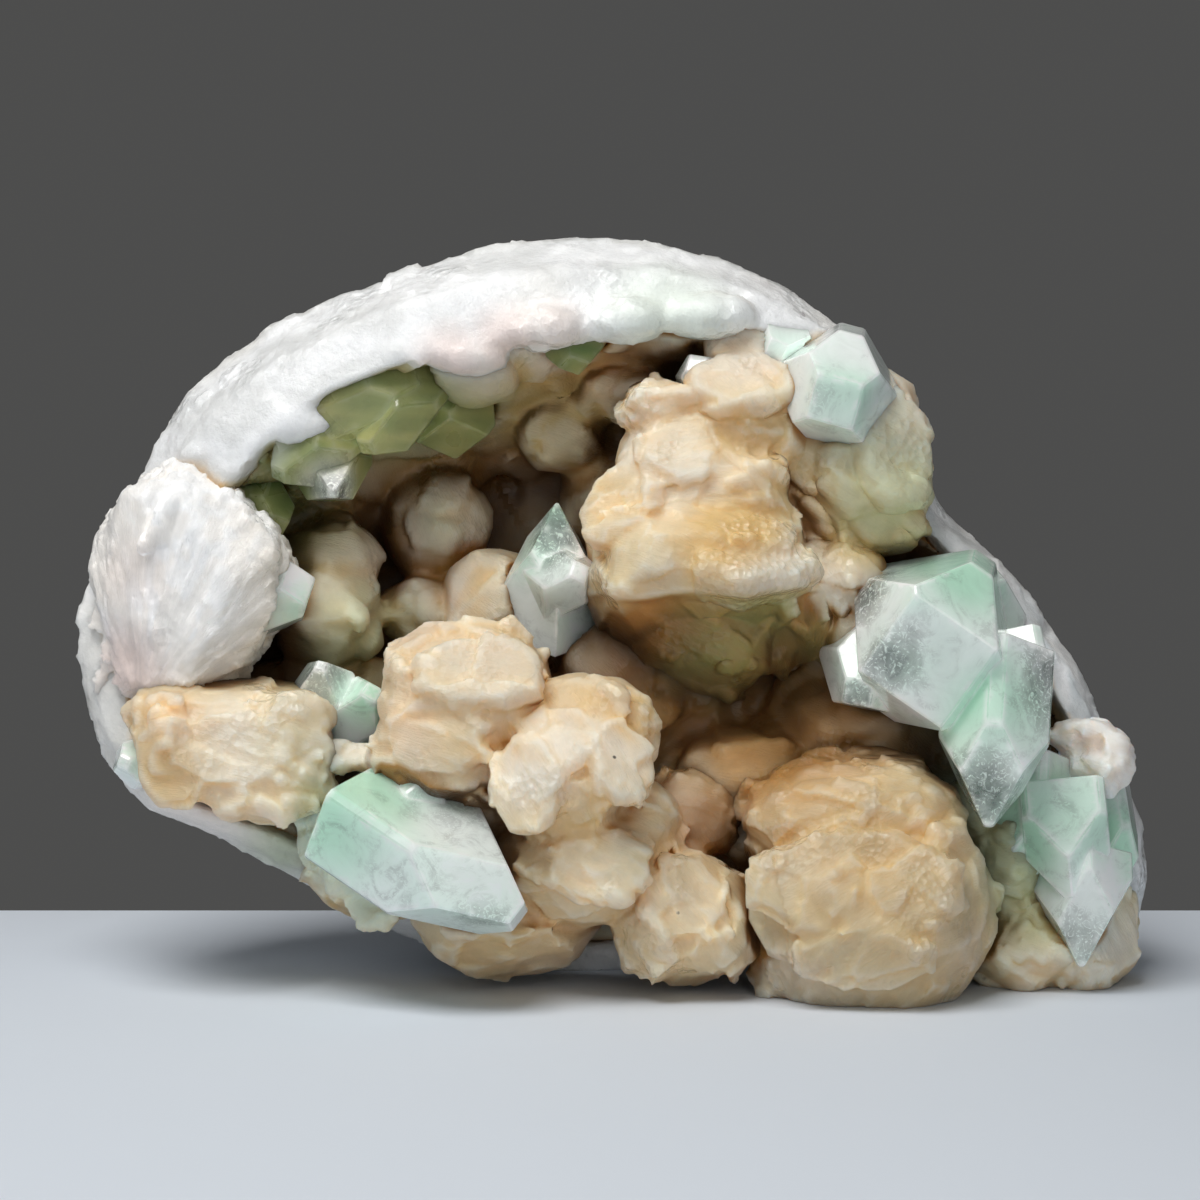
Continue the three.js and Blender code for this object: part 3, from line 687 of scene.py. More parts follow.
def softened(mesh, values, rounds):
    """Values at the mesh's points, averaged with those of their neighbours that many times."""
    a, b = edge_ends(mesh)
    count = len(values)
    joined = np.maximum(np.bincount(a, minlength=count) + np.bincount(b, minlength=count), 1)
    soft = values.copy()
    for _ in range(rounds):
        for k in range(soft.shape[1]):
            total = np.bincount(a, soft[b, k], count) + np.bincount(b, soft[a, k], count)
            soft[:, k] = 0.4 * soft[:, k] + 0.6 * total / joined
    return soft


def write_colour(mesh, colour):
    tint = mesh.attributes.new("tint", "FLOAT_COLOR", "POINT")
    flat = np.concatenate([np.clip(colour, 0, 1), np.ones((len(colour), 1))], 1)
    tint.data.foreach_set("color", flat.astype(np.float32).ravel())


def write_number(mesh, name, values):
    stored = mesh.attributes.new(name, "FLOAT", "POINT")
    stored.data.foreach_set("value", values.astype(np.float32))


def write_grain(mesh, places, size):
    """Stores where each point is in the grain of that size, and how much its facets glint."""
    stored = mesh.attributes.new("grain", "FLOAT_VECTOR", "POINT")
    stored.data.foreach_set("vector", (places / np.array(size)).astype(np.float32).ravel())
    write_number(mesh, "glint", patches(points_of(mesh), GLINT_PATCHES))


def patches(points, places):
    total = np.zeros(len(points))
    for *middle, reach, strength in places:
        distance = np.linalg.norm(points - np.array(middle), axis=1)
        total = np.maximum(total, strength * ramp(reach - distance, -0.25 * reach, 0.75 * reach))
    return total


def along_sheaves(points):
    """Each point in its sheaf's own directions, the third across the plates, and the sheaf's number."""
    middles = np.array([middle for middle, _ in SHEAVES], float)
    warped = points + 3.5 * swell(points, "sheaf_border")
    nearest = np.linalg.norm(warped[:, None, :] - middles[None, :, :], axis=2).argmin(1)
    local = np.zeros_like(points)
    for number, (middle, direction) in enumerate(SHEAVES):
        mine = nearest == number
        local[mine] = (points[mine] - np.array(middle)) @ turned(direction).T
    return local, nearest


def stilbite_relief(points, strength):
    """How far facets and stacked plates stand out, their random numbers, and the place within the stack."""
    local, number = along_sheaves(points)
    local = local + 1.1 * swell(points, "stack_wave") + number[:, None] * STACK_STEP
    facets, chance = faceted(points + 3 * swell(points, "facet_wave"), "facets")
    chips, fine_chance = faceted(local, "chips")
    rough = 0.25 + 0.75 * ramp(swell(points, "roughness")[:, 0], -0.3, 0.4)
    raised = swell(points, "low")[:, 0] + facets + rough * openness(points, 0.5) * chips
    return strength * raised, chance, fine_chance, local


def crevice_shade_share(points, normals):
    """From 0 in the open to 1 in a crevice; it sets where painted shade darkens the colour."""
    return ramp(sampled(near_map, points + 3.2 * normals), 0.16, 0.62)


def hollow_shade_share(points, normals):
    """From 0 in the open to 1 deep in the hollow; it sets where painted shade darkens the colour."""
    return ramp(sampled(far_map, points + 8.0 * normals), 0.18, 0.62)


def stilbite_colour(points, normals, standing, chance, fine_chance):
    """Pale on the ridges and peach between them, partly painted light and shade; painted orange and brown
    shade in crevices, gaps and deep in the hollow; undersides painted darker; olive patches, partly painted
    shade.
    """
    crevice, hollow = crevice_shade_share(points, normals), hollow_shade_share(points, normals)
    # Painted shade: undersides get more peach and olive and fewer pale patches.
    under = ramp(-normals[:, 2], 0.1, 0.9)
    # Painted light and shade: ridges get paler, valleys more peach and orange.
    ridge, valley = ramp(standing, 0.05, 0.4), ramp(-standing, 0.05, 0.4)
    wide = swell(points, "wide")
    warped = points + 4 * swell(points, "patch_edge")
    colour = layered(
        CREAM,
        (PEACH, 0.5 + 0.5 * wide[:, 0] + 0.4 * under + 0.3 * (chance[:, 1] - 0.5) + 0.35 * valley),
        (HONEY, 0.5 * ramp(wide[:, 2], 0.2, 0.7)),
        (PEARL, 0.4 * ridge + 0.12 * ramp(fine_chance[:, 1], 0.7, 1.0)),
        (ROSE, 0.4 * ramp(wide[:, 1], 0.2, 0.8)),
        # Partly painted highlight: pale glinting patches, fewer on the shaded undersides.
        (PEARL, 0.9 * patches(warped, WHITE_AND_HIGHLIGHT_PATCHES) * (1 - under)),
        (HONEY, patches(warped, HONEY_PATCHES)),
        # Painted shade: orange in crevices, valleys and the hollow, brown deep in it.
        (SHADE_ORANGE, 1.1 * crevice + 0.8 * hollow + 0.1 * valley - 0.15),
        (SHADE_BROWN, 0.95 * ramp(hollow, 0.35, 0.95)),
        (ROSE, patches(points, ROSE_PATCHES)),
        (FROST, patches(warped, FROST_PATCHES)),
        # Painted shade: orange and brown patches in the gaps.
        (SHADE_ORANGE, patches(warped, ORANGE_SHADE_PATCHES)),
        (SHADE_BROWN, 0.7 * patches(warped, GAP_SHADE_PATCHES)),
        # Olive tint, stronger on undersides as painted shade.
        (OLIVE, 0.9 * patches(warped, OLIVE_AND_SHADE_PATCHES) * (0.6 + 0.4 * under)),
        (MINT, patches(points, PETAL_PATCHES)),
    )
    # Painted shade: the whole colour darkens deep in the hollow.
    return colour * (0.91 - 0.55 * hollow[:, None] + 0.05 * (fine_chance[:, 2:3] - 0.5))


def stone_piece(node):
    name, slot, pitch, rounds, sizes = STONES[node]
    piece = even_copy(node, name, pitch, rounds, sizes)
    material = "rind"
    if node == "geode_rind":
        shape_rind(piece.data)
    elif node == "stilbite_sheaf_left":
        shape_sheaf(piece.data)
    else:
        shape_stilbite(piece.data, node)
        material = "stilbite"
    smooth_shaded(piece.data)
    piece.data.materials.append(materials[material])
    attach(piece, "root")
    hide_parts(node)


def kept_above_floor(points):
    points[:, 2] = np.maximum(points[:, 2], 0.0)
    return points


def under_ledge(points):
    """The points, with those under the ledge of the central mass drawn back."""
    below = np.clip(LEDGE_HEIGHT + 1.5 * swell(points, "ledge")[:, 0] - points[:, 2], 0, 30)
    inward = LEDGE_SLOPE * below + LEDGE_OVERHANG * ramp(below, 0, 1.4)
    points[:, 1] += inward * ramp(-points[:, 1], *LEDGE_FADE) * ramp(LEDGE_RIGHT - points[:, 0], 0, 8)
    return points


def shape_stilbite(mesh, node):
    """Facets and stacked plates, and the colours of the place."""
    points, normals = points_of(mesh), normals_of(mesh)
    raised, chance, fine_chance, local = stilbite_relief(points, STRENGTHS.get(node, 1.0))
    moved = kept_above_floor(points + (raised + 0.3)[:, None] * normals)
    if node == "stilbite_upper_mass":
        moved = under_ledge(moved)
    moved = softened(mesh, moved, 1)
    set_points(mesh, moved)
    normals = normals_of(mesh)
    # How far each point stands out, which sets painted light on ridges and painted shade in valleys.
    standing = ((moved - softened(mesh, moved, 24)) * normals).sum(1)
    colour = stilbite_colour(moved, normals, standing, chance, fine_chance)
    if node == "stilbite_knob_right":
        colour = mixed(colour, WHITE, np.full(len(points), 0.9))
    write_colour(mesh, colour * SHADES.get(node, 1.0))
    write_grain(mesh, local, (5.0, 3.0, 0.8))


def shape_sheaf(mesh):
    """The cut sheaf: lines run out from its root at the lower left."""
    points, normals = points_of(mesh), normals_of(mesh)
    angle = np.degrees(np.arctan2(points[:, 2] - FAN_ROOT[1], points[:, 0] - FAN_ROOT[0]))
    reach = np.linalg.norm(points - np.array(SHEAF_ROOT), axis=1)
    fan = np.stack([angle * FAN_TURN, reach, points[:, 1] * FAN_DEPTH], 1)
    chance, fine_chance = blocks(fan, "fan_wide")[1], blocks(fan, "fan_fine")[1]
    rim = 1 - ramp(-normals[:, 1], 0.2, 0.8)
    raised = (0.6 + 0.4 * rim) * (chance[:, 0] - 0.5) + (0.45 + 0.3 * rim) * (fine_chance[:, 0] - 0.5)
    raised += swell(points, "low")[:, 0] + 0.3 * swell(points, "sheaf_small")[:, 0]
    moved = kept_above_floor(points + (raised + 0.5)[:, None] * normals)
    set_points(mesh, moved)
    stroke = ramp(swell(fan, "stroke")[:, 0] + 0.5 * swell(points, "stroke_wave")[:, 0], -0.35, 0.3)
    fan_share = patches(moved + 3 * swell(points, "fan_edge"), FAN_PATCHES)
    colour = layered(
        BEIGE,
        (TAN, ramp(points[:, 0], *FAN_MARGIN) + 0.4 * swell(points, "fan_margin")[:, 0]),
        (FAN_WHITE, fan_share * (0.5 + 0.5 * stroke) + 0.4 * rim),
        (ROSE, patches(moved, SHEAF_ROSE)),
        # Painted shade: peach in the crevices.
        (PEACH, 0.6 * crevice_shade_share(moved, normals) - 0.1),
    )
    write_colour(mesh, colour * (1 + 0.08 * (fine_chance[:, 2:3] - 0.5)))
    write_grain(mesh, fan, (0.5, 9.0, 2.0))


def shape_rind(mesh):
    """White broken band in front, a grey-white skin with pits outside, and a plain wall in the hollow, with
    painted shade in the crevices.
    """
    points, normals = points_of(mesh), normals_of(mesh)
    band = ramp(-normals[:, 1], 0.15, 0.5)
    steps = faceted(points + 2.5 * swell(points, "rind_wave"), "rind_steps")[0]
    chips, chance = faceted(points + swell(points, "rind_fine_wave"), "rind_chips")
    from_pit, pit_chance = blocks(points + 2.5 * swell(points, "pit_wave"), "pits")
    pit_size = 0.12 + 0.3 * pit_chance[:, 1] ** 2
    pits = ramp(pit_size - np.linalg.norm(from_pit, axis=1), 0, 0.16) * (pit_chance[:, 0] > 0.45) * (1 - band)
    raised = steps + chips + 0.5 * swell(points, "rind_low")[:, 0] - 1.1 * pits
    raised -= SHEAF_BED_DEPTH * band * patches(points, SHEAF_BED)
    moved = kept_above_floor(points + (raised * 0.8)[:, None] * normals)
    set_points(mesh, moved)
    crevice = crevice_shade_share(moved, normals)
    wide = swell(points, "rind_wide")
    cloud = swell(points + 3 * swell(points, "cloud_wave"), "cloud")
    streak = ramp(swell(points, "streak")[:, 0] + 0.5 * swell(points, "streak_wave")[:, 1], -0.3, 0.3)
    front = layered(
        SNOW,
        (BAND, ramp(cloud[:, 0], -0.2, 0.4)),
        (CREAM, 0.2 * ramp(wide[:, 0], 0.0, 0.7)),
        (ROSE, 0.25 * ramp(wide[:, 1], 0.3, 0.8) + 0.8 * patches(moved, ROSE_PATCHES)),
        (mixed(STREAK_GREY, STREAK_WHITE, streak), 0.8 * ramp(points[:, 0], *WING)),
    )
    colour = layered(
        GREY,
        (WHITE, 0.55 + 0.7 * swell(points, "skin")[:, 0] + 0.3 * wide[:, 2]),
        (PIT, 0.6 * ramp(1.1 * pits, 0.3, 1.0)),
        (front, band),
        # Painted shade: peach in crevices, and olive patches that deepen in crevices.
        (PEACH, 1.2 * crevice - 0.2),
        (OLIVE, 0.6 * patches(moved, OLIVE_AND_SHADE_PATCHES) * (1 - band) * ramp(crevice, 0.1, 0.5)),
        (MINT, patches(moved, MINT_BAND)),
        (MOSS, patches(moved, MOSS_PATCHES)),
        (SHELL, patches(moved, SHELL_PATCHES)),
    )
    write_colour(mesh, colour * (1 + 0.06 * (chance[:, 2:3] - 0.5)))
    write_grain(mesh, points, (3.0, 3.0, 3.0))


# Materials

def new_material(name):
    material = bpy.data.materials.new(name)
    material.use_nodes = True
    return material, material.node_tree, material.node_tree.nodes["Principled BSDF"]


def shader_node(tree, kind, **values):
    """A new node. Each value goes to the input of that name, or else to the node's own setting."""
    made = tree.nodes.new(kind)
    for key, value in values.items():
        if key in made.inputs:
            made.inputs[key].default_value = value
        else:
            setattr(made, key, value)
    return made


def set_inputs(shader, **values):
    for key, value in values.items():
        shader.inputs[key.replace("_", " ")].default_value = value


def noise(tree, place, **values):
    """Smooth noise over that place."""
    made = shader_node(tree, "ShaderNodeTexNoise", **values)
    tree.links.new(place, made.inputs["Vector"])
    return made.outputs["Fac"]


def cells(tree, place, scale):
    """How far each place is from the nearest of many scattered points."""
    made = shader_node(tree, "ShaderNodeTexVoronoi", Scale=scale)
    tree.links.new(place, made.inputs["Vector"])
    return made.outputs["Distance"]


def added(tree, a, b, factor=1.0):
    """The first number times the factor, plus the second."""
    made = shader_node(tree, "ShaderNodeMath", operation="MULTIPLY_ADD")
    made.inputs[1].default_value = factor
    tree.links.new(a, made.inputs[0])
    tree.links.new(b, made.inputs[2])
    return made.outputs[0]


def clouded_tint(tree, shade):
    """The colour stored on the mesh, lighter or darker by that shade."""
    tinted = shader_node(tree, "ShaderNodeVectorMath", operation="SCALE")
    tree.links.new(attribute(tree, "tint").outputs["Color"], tinted.inputs[0])
    tree.links.new(shade, tinted.inputs["Scale"])
    return tinted.outputs["Vector"]


def attribute(tree, name):
    return shader_node(tree, "ShaderNodeAttribute", attribute_name=name)


def object_place(tree):
    return shader_node(tree, "ShaderNodeTexCoord").outputs["Object"]


def number_ramp(tree, source, low, high, to_low, to_high):
    """The source's range from low to high turned into the range from to_low to to_high."""
    made = shader_node(tree, "ShaderNodeMapRange", clamp=True)
    set_inputs(made, From_Min=low, From_Max=high, To_Min=to_low, To_Max=to_high)
    tree.links.new(source, made.inputs["Value"])
    return made.outputs["Result"]


def bump(tree, height, distance, strength):
    made = shader_node(tree, "ShaderNodeBump")
    set_inputs(made, Distance=distance * MM, Strength=strength)
    tree.links.new(height, made.inputs["Height"])
    return made


def stone_material(name, subsurface, scatter, spread, roughness, facet, relief, coat):
    """Smooth and waxy, with dark specks and patches of small facets that glitter."""
    material, tree, shader = new_material(name)
    links = tree.links
    place = object_place(tree)
    cloud = noise(tree, place, Scale=260.0, Detail=5.0, Roughness=0.6)
    shade = number_ramp(tree, cloud, 0.3, 0.7, 0.92, 1.05)
    speckled = shader_node(tree, "ShaderNodeMixRGB", Color2=SPECK)
    links.new(number_ramp(tree, cells(tree, place, 70.0), 0.018, 0.032, 0.9, 0.0), speckled.inputs["Fac"])
    links.new(clouded_tint(tree, shade), speckled.inputs["Color1"])
    links.new(speckled.outputs["Color"], shader.inputs["Base Color"])
    patch = noise(tree, place, Scale=75.0, Detail=2.0)
    shine = added(tree, attribute(tree, "glint").outputs["Fac"], patch, 0.3)
    grain = attribute(tree, "grain").outputs["Vector"]
    lines = bump(tree, noise(tree, grain, Scale=2.2, Detail=4.0, Roughness=0.65), relief, 0.8)
    faceted_bump = bump(tree, cells(tree, place, facet), 0.5, 1.0)
    links.new(number_ramp(tree, shine, 0.5, 0.7, 0.08, 1.4), faceted_bump.inputs["Strength"])
    links.new(lines.outputs["Normal"], faceted_bump.inputs["Normal"])
    for socket in ("Normal", "Coat Normal"):
        links.new(faceted_bump.outputs["Normal"], shader.inputs[socket])
    dull, glossy = roughness + 0.08, roughness - 0.32
    links.new(number_ramp(tree, shine, 0.45, 0.7, dull, glossy), shader.inputs["Roughness"])
    set_inputs(shader, Subsurface_Weight=subsurface, Subsurface_Scale=scatter * MM, Subsurface_Radius=spread)
    set_inputs(shader, IOR=1.5, Coat_Weight=coat, Coat_Roughness=0.08)
    shader.subsurface_method = "BURLEY"
    return material


def crystal_material(name, absorption, density, dull, coat):
    """Glassy crystal, milky where its haze is high and clear where it is low, with wisps and fibres."""
    material, tree, shader = new_material(name)
    links = tree.links
    place = object_place(tree)
    wisp = noise(tree, place, Scale=160.0, Detail=5.0, Roughness=0.62, Distortion=1.2)
    fibre = noise(tree, place, Scale=620.0, Detail=3.0, Roughness=0.6, Distortion=2.5)
    shade = number_ramp(tree, wisp, 0.3, 0.65, 0.94, 1.05)
    links.new(clouded_tint(tree, shade), shader.inputs["Base Color"])
    haze = attribute(tree, "haze").outputs["Fac"]
    veil = added(tree, haze, number_ramp(tree, wisp, 0.35, 0.65, -0.16, 0.16))
    thread = added(tree, veil, number_ramp(tree, fibre, 0.54, 0.66, 0.0, 0.5))
    links.new(number_ramp(tree, thread, 0.05, 0.95, 0.97, 0.05), shader.inputs["Transmission Weight"])
    links.new(number_ramp(tree, haze, 0.2, 1.0, 0.02, dull), shader.inputs["Roughness"])
    links.new(bump(tree, wisp, 0.5, 0.3).outputs["Normal"], shader.inputs["Normal"])
    set_inputs(shader, Subsurface_Weight=1.0, Subsurface_Scale=5 * MM, Subsurface_Radius=(0.8, 1.0, 0.9))
    set_inputs(shader, IOR=1.535, Coat_Weight=coat, Coat_Roughness=0.03)
    shader.subsurface_method = "BURLEY"
    volume = shader_node(tree, "ShaderNodeVolumeAbsorption", Color=(*absorption, 1), Density=density)
    links.new(volume.outputs["Volume"], tree.nodes["Material Output"].inputs["Volume"])
    return material


def floor_material():
    material, tree, shader = new_material("floor_pale")
    weave = noise(tree, object_place(tree), Scale=40.0, Detail=4.0)
    tree.links.new(bump(tree, weave, 0.6, 0.3).outputs["Normal"], shader.inputs["Normal"])
    set_inputs(shader, Base_Color=(*FLOOR_COLOUR, 1), Roughness=0.8)
    return material


materials = {
    "rind": stone_material(
        "rind_white", subsurface=0.9, scatter=4.0, spread=(1.0, 0.95, 0.9), roughness=0.5, facet=520.0,
        relief=0.6, coat=0.4,
    ),
    "stilbite": stone_material(
        "stilbite_peach", subsurface=1.0, scatter=7.0, spread=(1.0, 0.55, 0.28), roughness=0.5, facet=620.0,
        relief=0.35, coat=0.25,
    ),
    "mint": crystal_material(
        "apophyllite_mint", absorption=(0.5, 0.95, 0.8), density=4.0, dull=0.16, coat=0.6
    ),
    "green": crystal_material(
        "apophyllite_green", absorption=(0.45, 0.85, 0.45), density=14.0, dull=0.3, coat=0.25
    ),
}


# Apophyllite

# Each piece: the node it replaces, its material, and its crystals. A crystal has its tip, the way it points,
# the widths of its square prism, its length, the turn about its own axis, how much of its point is cut flat
# and how much its upright edges are cut.
CRYSTALS = {
    "crystal_front_cloudy": ("apophyllite_front_left", "mint", [
        ((-15.5, -48, 17), (0.80, -0.36, -0.48), (26, 17), 46, 13, 4.5, 0.9),
        ((-42, -38, 46), (-0.3, -0.5, 0.8), (12, 9), 22, 20, 3, 1.5),
    ]),
    "crystals_right": ("apophyllite_right", "mint", [
        ((57.8, -51.6, 65), (-0.16, -0.96, -0.16), (28, 30), 44, 10, 17, 2.5),
        ((46.3, -31.6, 59), (-0.25, -0.9, -0.35), (16, 17), 24, 35, 5, 1.0),
        ((51.3, -20.6, 82), (-0.3, -0.9, 0.3), (13, 12), 20, 20, 3, 0.5),
        ((67.3, -26.6, 80), (-0.15, -0.95, 0.25), (21, 17), 28, 35, 5, 1.0),
        ((72.3, -36.6, 34), (-0.1, -0.4, -0.91), (18, 17), 38, 40, 1.5, 1.5),
        ((81.3, -22.6, 53), (0.1, -0.6, -0.8), (14, 13), 20, 20, 3, 1.0),
        ((81.3, -21.6, 20), (-0.1, -0.3, -0.95), (13, 12), 28, 20, 2, 1.0),
        ((90.3, -28.6, 18), (0.05, -0.4, -0.91), (17, 14), 25, 15, 2, 1.0),
        ((92.3, -26.6, 5), (-0.02, -0.35, -0.93), (17, 14), 24, 45, 1, 0.5),
        ((100.3, -14.6, 17), (0.1, -0.4, -0.91), (13, 12), 25, 30, 3, 1.0),
    ]),
    "crystal_centre": ("apophyllite_centre", "mint", [
        ((-12.1, -8.6, 98), (0.05, -0.25, 0.97), (15, 15), 30, 40, 0, 0),
        ((-6.5, -21.5, 85), (0.3, -0.85, 0.25), (13, 12), 24, 20, 3, 0.5),
    ]),
    "crystal_top_right": ("apophyllite_top_right", "mint", [
        ((41.9, -35.6, 117), (-0.1, -0.98, -0.15), (20, 21), 32, 30, 8, 2.5),
        ((31.4, -17.6, 128), (-0.1, -0.95, -0.1), (14, 11), 14, 20, 3, 1.0),
    ]),
    "crystals_roof_left": ("apophyllite_roof_left", "green", [
        ((-37, -11.5, 123.5), (0.93, 0, 0.38), (13, 11), 34, 10, 3, 1.5),
        ((-69.6, -19.6, 102), (-0.6, -0.6, -0.5), (15, 13), 26, 20, 3, 1.0),
        ((-51.6, -18.6, 107), (-0.45, -0.65, -0.6), (16, 14), 26, 40, 3, 1.0),
        ((-32.6, -6.6, 103), (0.1, -0.6, -0.8), (18, 16), 27, 10, 9, 1.0),
    ]),
    "crystal_roof_right": ("apophyllite_roof_right", "green", [
        ((-8.6, -16.6, 122), (0, -0.6, -0.75), (12, 12), 18, 15, 4, 1.0),
    ]),
    "crystals_left_upper": ("apophyllite_left_upper", "green", [
        ((-66.6, -15.6, 91), (0.5, -0.75, -0.4), (13, 12), 24, 25, 4, 1.0),
        ((-74.6, -16.6, 97), (0.3, -0.85, 0), (12, 11), 20, 45, 3, 1.0),
        ((-56.5, -19.5, 99), (0.12, -0.9, -0.42), (14, 13), 26, 45, 1.5, 0.8),
    ]),
    "crystal_left_small": ("apophyllite_left_small", "mint", [
        ((-59.6, -24.6, 84), (0.6, -0.62, 0.3), (13, 13), 26, 10, 6, 0.5),
    ]),
    "crystals_low_left": ("apophyllite_low_left", "mint", [
        ((-59, -23, 67), (0, -0.7, 0.65), (14, 13), 24, 30, 2, 0.5),
        ((-48, -24.5, 62), (0.25, -0.75, 0.5), (14, 13), 26, 10, 3, 0.5),
    ]),
    "crystal_corner_left": ("apophyllite_corner_left", "mint", [
        ((-98.6, -27.6, 47), (-0.3, -0.92, 0.1), (9, 9), 15, 25, 2, 0.5),
    ]),
    "crystal_upper_small": ("apophyllite_upper_small", "mint", [
        ((15.4, -18, 127.5), (-0.15, -0.82, 0.55), (8, 8), 17, 35, 3.5, 0.3),
    ]),
}
PYRAMID_TILT = math.radians(60.4)
WORN_EDGE = 0.3
LONGEST_EDGE = 1.8
SMALLEST_FACET = 0.1
SAME_FACET = 0.97

# Clear windows in the crystals: middle, reach and how clear.
WINDOWS = [
    (53, -38, 67, 9, 0.8), (72, -34, 42, 10, 0.8), (-12, -12, 92, 9, 0.6), (-57, -18, 98, 8, 0.7),
    (-59, -22, 66, 8, 0.5), (50, -22, 80, 8, 0.8), (44, -32, 57, 10, 0.9), (15, -14, 127, 6, 0.15),
    (82, -26, 62, 10, 0.7), (-26, -50, 20, 6, 0.4), (92, -28, 12, 8, 0.4),
]

# Where the crystals are a deeper green: middle, reach and strength.
MINT_PATCHES = [
    (67, -22, 82, 15, 0.9), (83, -18, 33, 14, 1.0), (74, -28, 58, 14, 0.8), (93, -27, 36, 11, 0.6),
    (102, -14, 26, 12, 0.9), (-54, -38, 40, 17, 1.0), (44, -34, 56, 10, 0.5), (56, -40, 82, 9, 0.4),
    (-12, -10, 97, 7, 0.7), (44, -34, 120, 12, 0.55), (58, -44, 70, 14, 0.25), (-48, -23, 60, 10, 0.9),
    (-60, -22, 76, 9, 0.5), (-17, -8, 88, 8, 0.5),
]
PALE_PATCHES = [
    (-30, -44, 30, 12, 0.7), (-56.5, -18, 99, 9, 0.8), (-72, -18, 110, 8, 0.4), (-30, -8, 104, 8, 0.2),
]

# The pale and the deep colour of each kind, and how white its edges are, as frost and painted highlight.
TINTS = {
    "mint": ((0.94, 0.985, 0.965), (0.52, 0.82, 0.64), 0.5),
    "green": ((0.42, 0.42, 0.16), (0.14, 0.21, 0.07), 0.07),
}


def crystal(tip, direction, widths, length, spin, cap, edge):
    """A square prism with the four faces of its pyramid cut across its corners, and its edges worn."""
    shape = bmesh.new()
    bmesh.ops.create_cube(shape, size=1)
    for v in shape.verts:
        v.co = Vector((v.co.x * widths[0], v.co.y * widths[1], (v.co.z - 0.5) * length))
    cuts = [(Vector((0, 0, -cap)), Vector((0, 0, 1)))]
    for x, y in product((-1, 1), repeat=2):
        across = Vector((x, y, 0)).normalized()
        sloping = across * math.sin(PYRAMID_TILT) + Vector((0, 0, math.cos(PYRAMID_TILT)))
        cuts.append((Vector((0, 0, 0)), sloping))
        corner = Vector((x * widths[0] / 2, y * widths[1] / 2, 0))
        cuts.append((corner - across * edge, across))
    for place, normal in cuts:
        bmesh.ops.bisect_plane(
            shape, geom=shape.verts[:] + shape.edges[:] + shape.faces[:], plane_co=place, plane_no=normal,
            clear_outer=True, dist=1e-5,
        )
        open_edges = [e for e in shape.edges if len(e.link_faces) == 1]
        if open_edges:
            bmesh.ops.contextual_create(shape, geom=open_edges)
    bmesh.ops.recalc_face_normals(shape, faces=shape.faces)
    worn = shape.edges[:]
    bmesh.ops.bevel(shape, geom=worn, offset=WORN_EDGE, segments=1, affect="EDGES", clamp_overlap=True)
    turn = Vector(direction).to_track_quat("Z", "Y").to_matrix() @ Matrix.Rotation(math.radians(spin), 3, "Z")
    for v in shape.verts:
        v.co = (turn @ v.co + Vector(tip)) * MM
    return mesh_from(shape, "crystal")


def divided(shape):
    """Splits the flat faces into small ones, so that values can vary over them."""
    bmesh.ops.triangulate(shape, faces=shape.faces)
    for _ in range(6):
        long_edges = [e for e in shape.edges if e.calc_length() > LONGEST_EDGE * MM]
        if not long_edges:
            break
        bmesh.ops.subdivide_edges(shape, edges=long_edges, cuts=1)
        bmesh.ops.triangulate(shape, faces=shape.faces)


def joined_crystals(name, crystals):
    """One clear body from crystals that have grown through each other."""
    whole = linked(name, crystal(*crystals[0]))
    for values in crystals[1:]:
        other = linked("other", crystal(*values))
        join = whole.modifiers.new("join", "BOOLEAN")
        join.operation = "UNION"
        join.solver = "EXACT"
        join.object = other
        apply_modifiers(whole)
        bpy.data.objects.remove(other)
    return whole


def crystal_looks(mesh, kind, on_edge, facet):
    """Stores each point's colour and haze, which differ from facet to facet. Edges are whitened, part frost
    and part painted highlight.
    """
    points = points_of(mesh)
    pale, deep, edge_share = TINTS[kind]
    chance = hashed(np.round(facet * 3), 5)
    cloud = swell(points, "crystal_cloud")
    share = 0.16 + 0.2 * cloud[:, 0] + 0.22 * (chance[:, 0] - 0.5) + patches(points, MINT_PATCHES)
    if kind == "green":
        share = 0.4 + 0.6 * cloud[:, 0] + 0.3 * swell(points, "crystal_band")[:, 0]
    colour = layered(
        pale,
        (deep, share),
        (TINTS["mint"][0], patches(points, PALE_PATCHES)),
        # Edges whitened: part frost, part painted highlight.
        (EDGE_FROST_AND_HIGHLIGHT, edge_share * on_edge),
    )
    write_colour(mesh, colour * (1 + 0.14 * (chance[:, 1:2] - 0.5)))
    haze = 0.98 + 0.12 * cloud[:, 1] + 0.1 * (chance[:, 2] - 0.5) - patches(points, WINDOWS) + 0.3 * on_edge
    write_number(mesh, "haze", np.clip(haze, 0, 1))


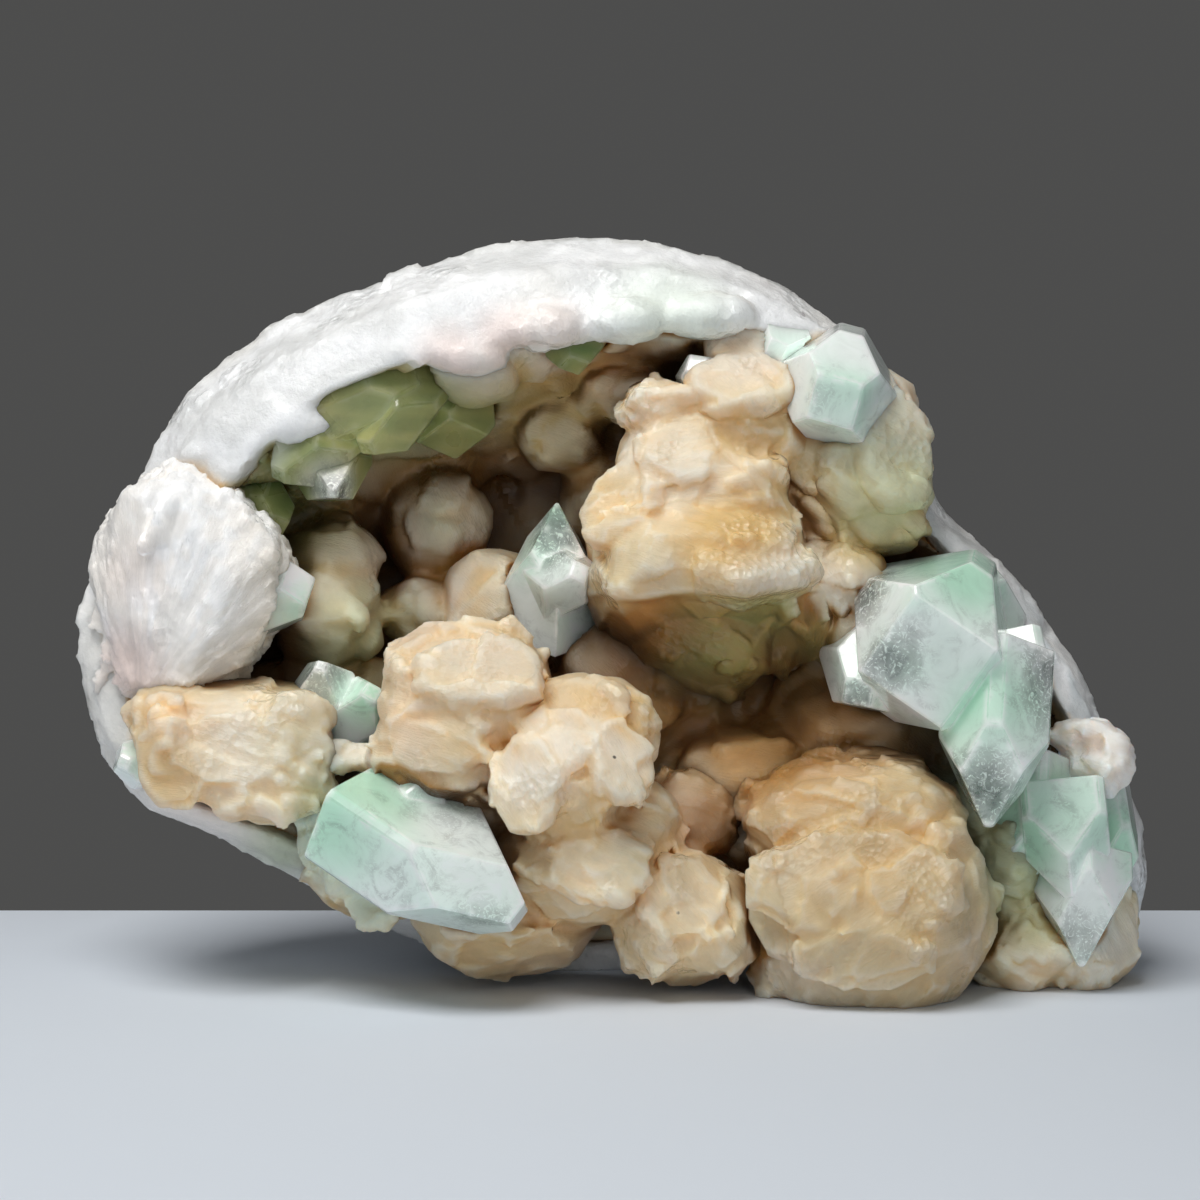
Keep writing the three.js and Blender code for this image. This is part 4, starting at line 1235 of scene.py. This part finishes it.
def crystal_piece(name):
    replaced, kind, crystals = CRYSTALS[name]
    piece = joined_crystals(name, crystals)
    shape = bmesh.new()
    shape.from_mesh(piece.data)
    divided(shape)
    bmesh.ops.recalc_face_normals(shape, faces=shape.faces)
    shape.verts.ensure_lookup_table()
    on_edge = np.zeros(len(shape.verts))
    facet = np.zeros((len(shape.verts), 3))
    for number, v in enumerate(shape.verts):
        v.co.z = max(v.co.z, 0)
        ways = [f.normal for f in v.link_faces if f.calc_area() > SMALLEST_FACET * MM**2] or [v.normal]
        on_edge[number] = min(a.dot(ways[0]) for a in ways) < SAME_FACET
        facet[number] = tuple(ways[0])
    piece.data = mesh_from(shape, name)
    crystal_looks(piece.data, kind, on_edge, facet)
    piece.data.materials.append(materials[kind])
    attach(piece, "root")
    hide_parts(replaced)


for stone in STONES:
    stone_piece(stone)
for cluster in CRYSTALS:
    crystal_piece(cluster)


# Floor, light and camera

def box_mesh(name, low, high):
    shape = bmesh.new()
    bmesh.ops.create_cube(shape, size=1)
    low, high = metres(*low), metres(*high)
    for v in shape.verts:
        v.co = Vector(((low + high)[k] / 2 + v.co[k] * (high - low)[k] for k in range(3)))
    return mesh_from(shape, name)


floor = linked("floor", box_mesh("floor", FLOOR_LOW, FLOOR_HIGH))
floor.data.materials.append(floor_material())


def area_light(name, place, target, size, power, colour):
    lamp = bpy.data.lights.new(name, "AREA")
    lamp.shape = "RECTANGLE"
    lamp.size, lamp.size_y = size[0] * MM, size[1] * MM
    lamp.energy = power
    lamp.color = colour
    holder = linked(name, lamp)
    holder.location = metres(*place)
    holder.rotation_euler = (metres(*target) - holder.location).to_track_quat("-Z", "Y").to_euler()


for light, values in LIGHTS.items():
    area_light(light, *values)
bpy.context.scene.view_settings.view_transform = "Standard"
world = bpy.data.worlds.new("surroundings")
bpy.context.scene.world = world
world.use_nodes = True
set_inputs(world.node_tree.nodes["Background"], Color=WORLD_COLOUR, Strength=1.0)

camera = linked("camera", bpy.data.cameras.new("camera"))
height = math.radians(CAMERA_HEIGHT_DEG)
camera.data.lens = CAMERA_LENS
camera.data.sensor_width = CAMERA_SENSOR
backwards = Vector((0, -math.cos(height), math.sin(height)))
camera.location = metres(*CAMERA_TARGET) + CAMERA_DISTANCE * MM * backwards
camera.rotation_euler = backwards.to_track_quat("Z", "Y").to_euler()
camera.data.clip_start = CAMERA_NEAREST * MM
bpy.context.scene.camera = camera
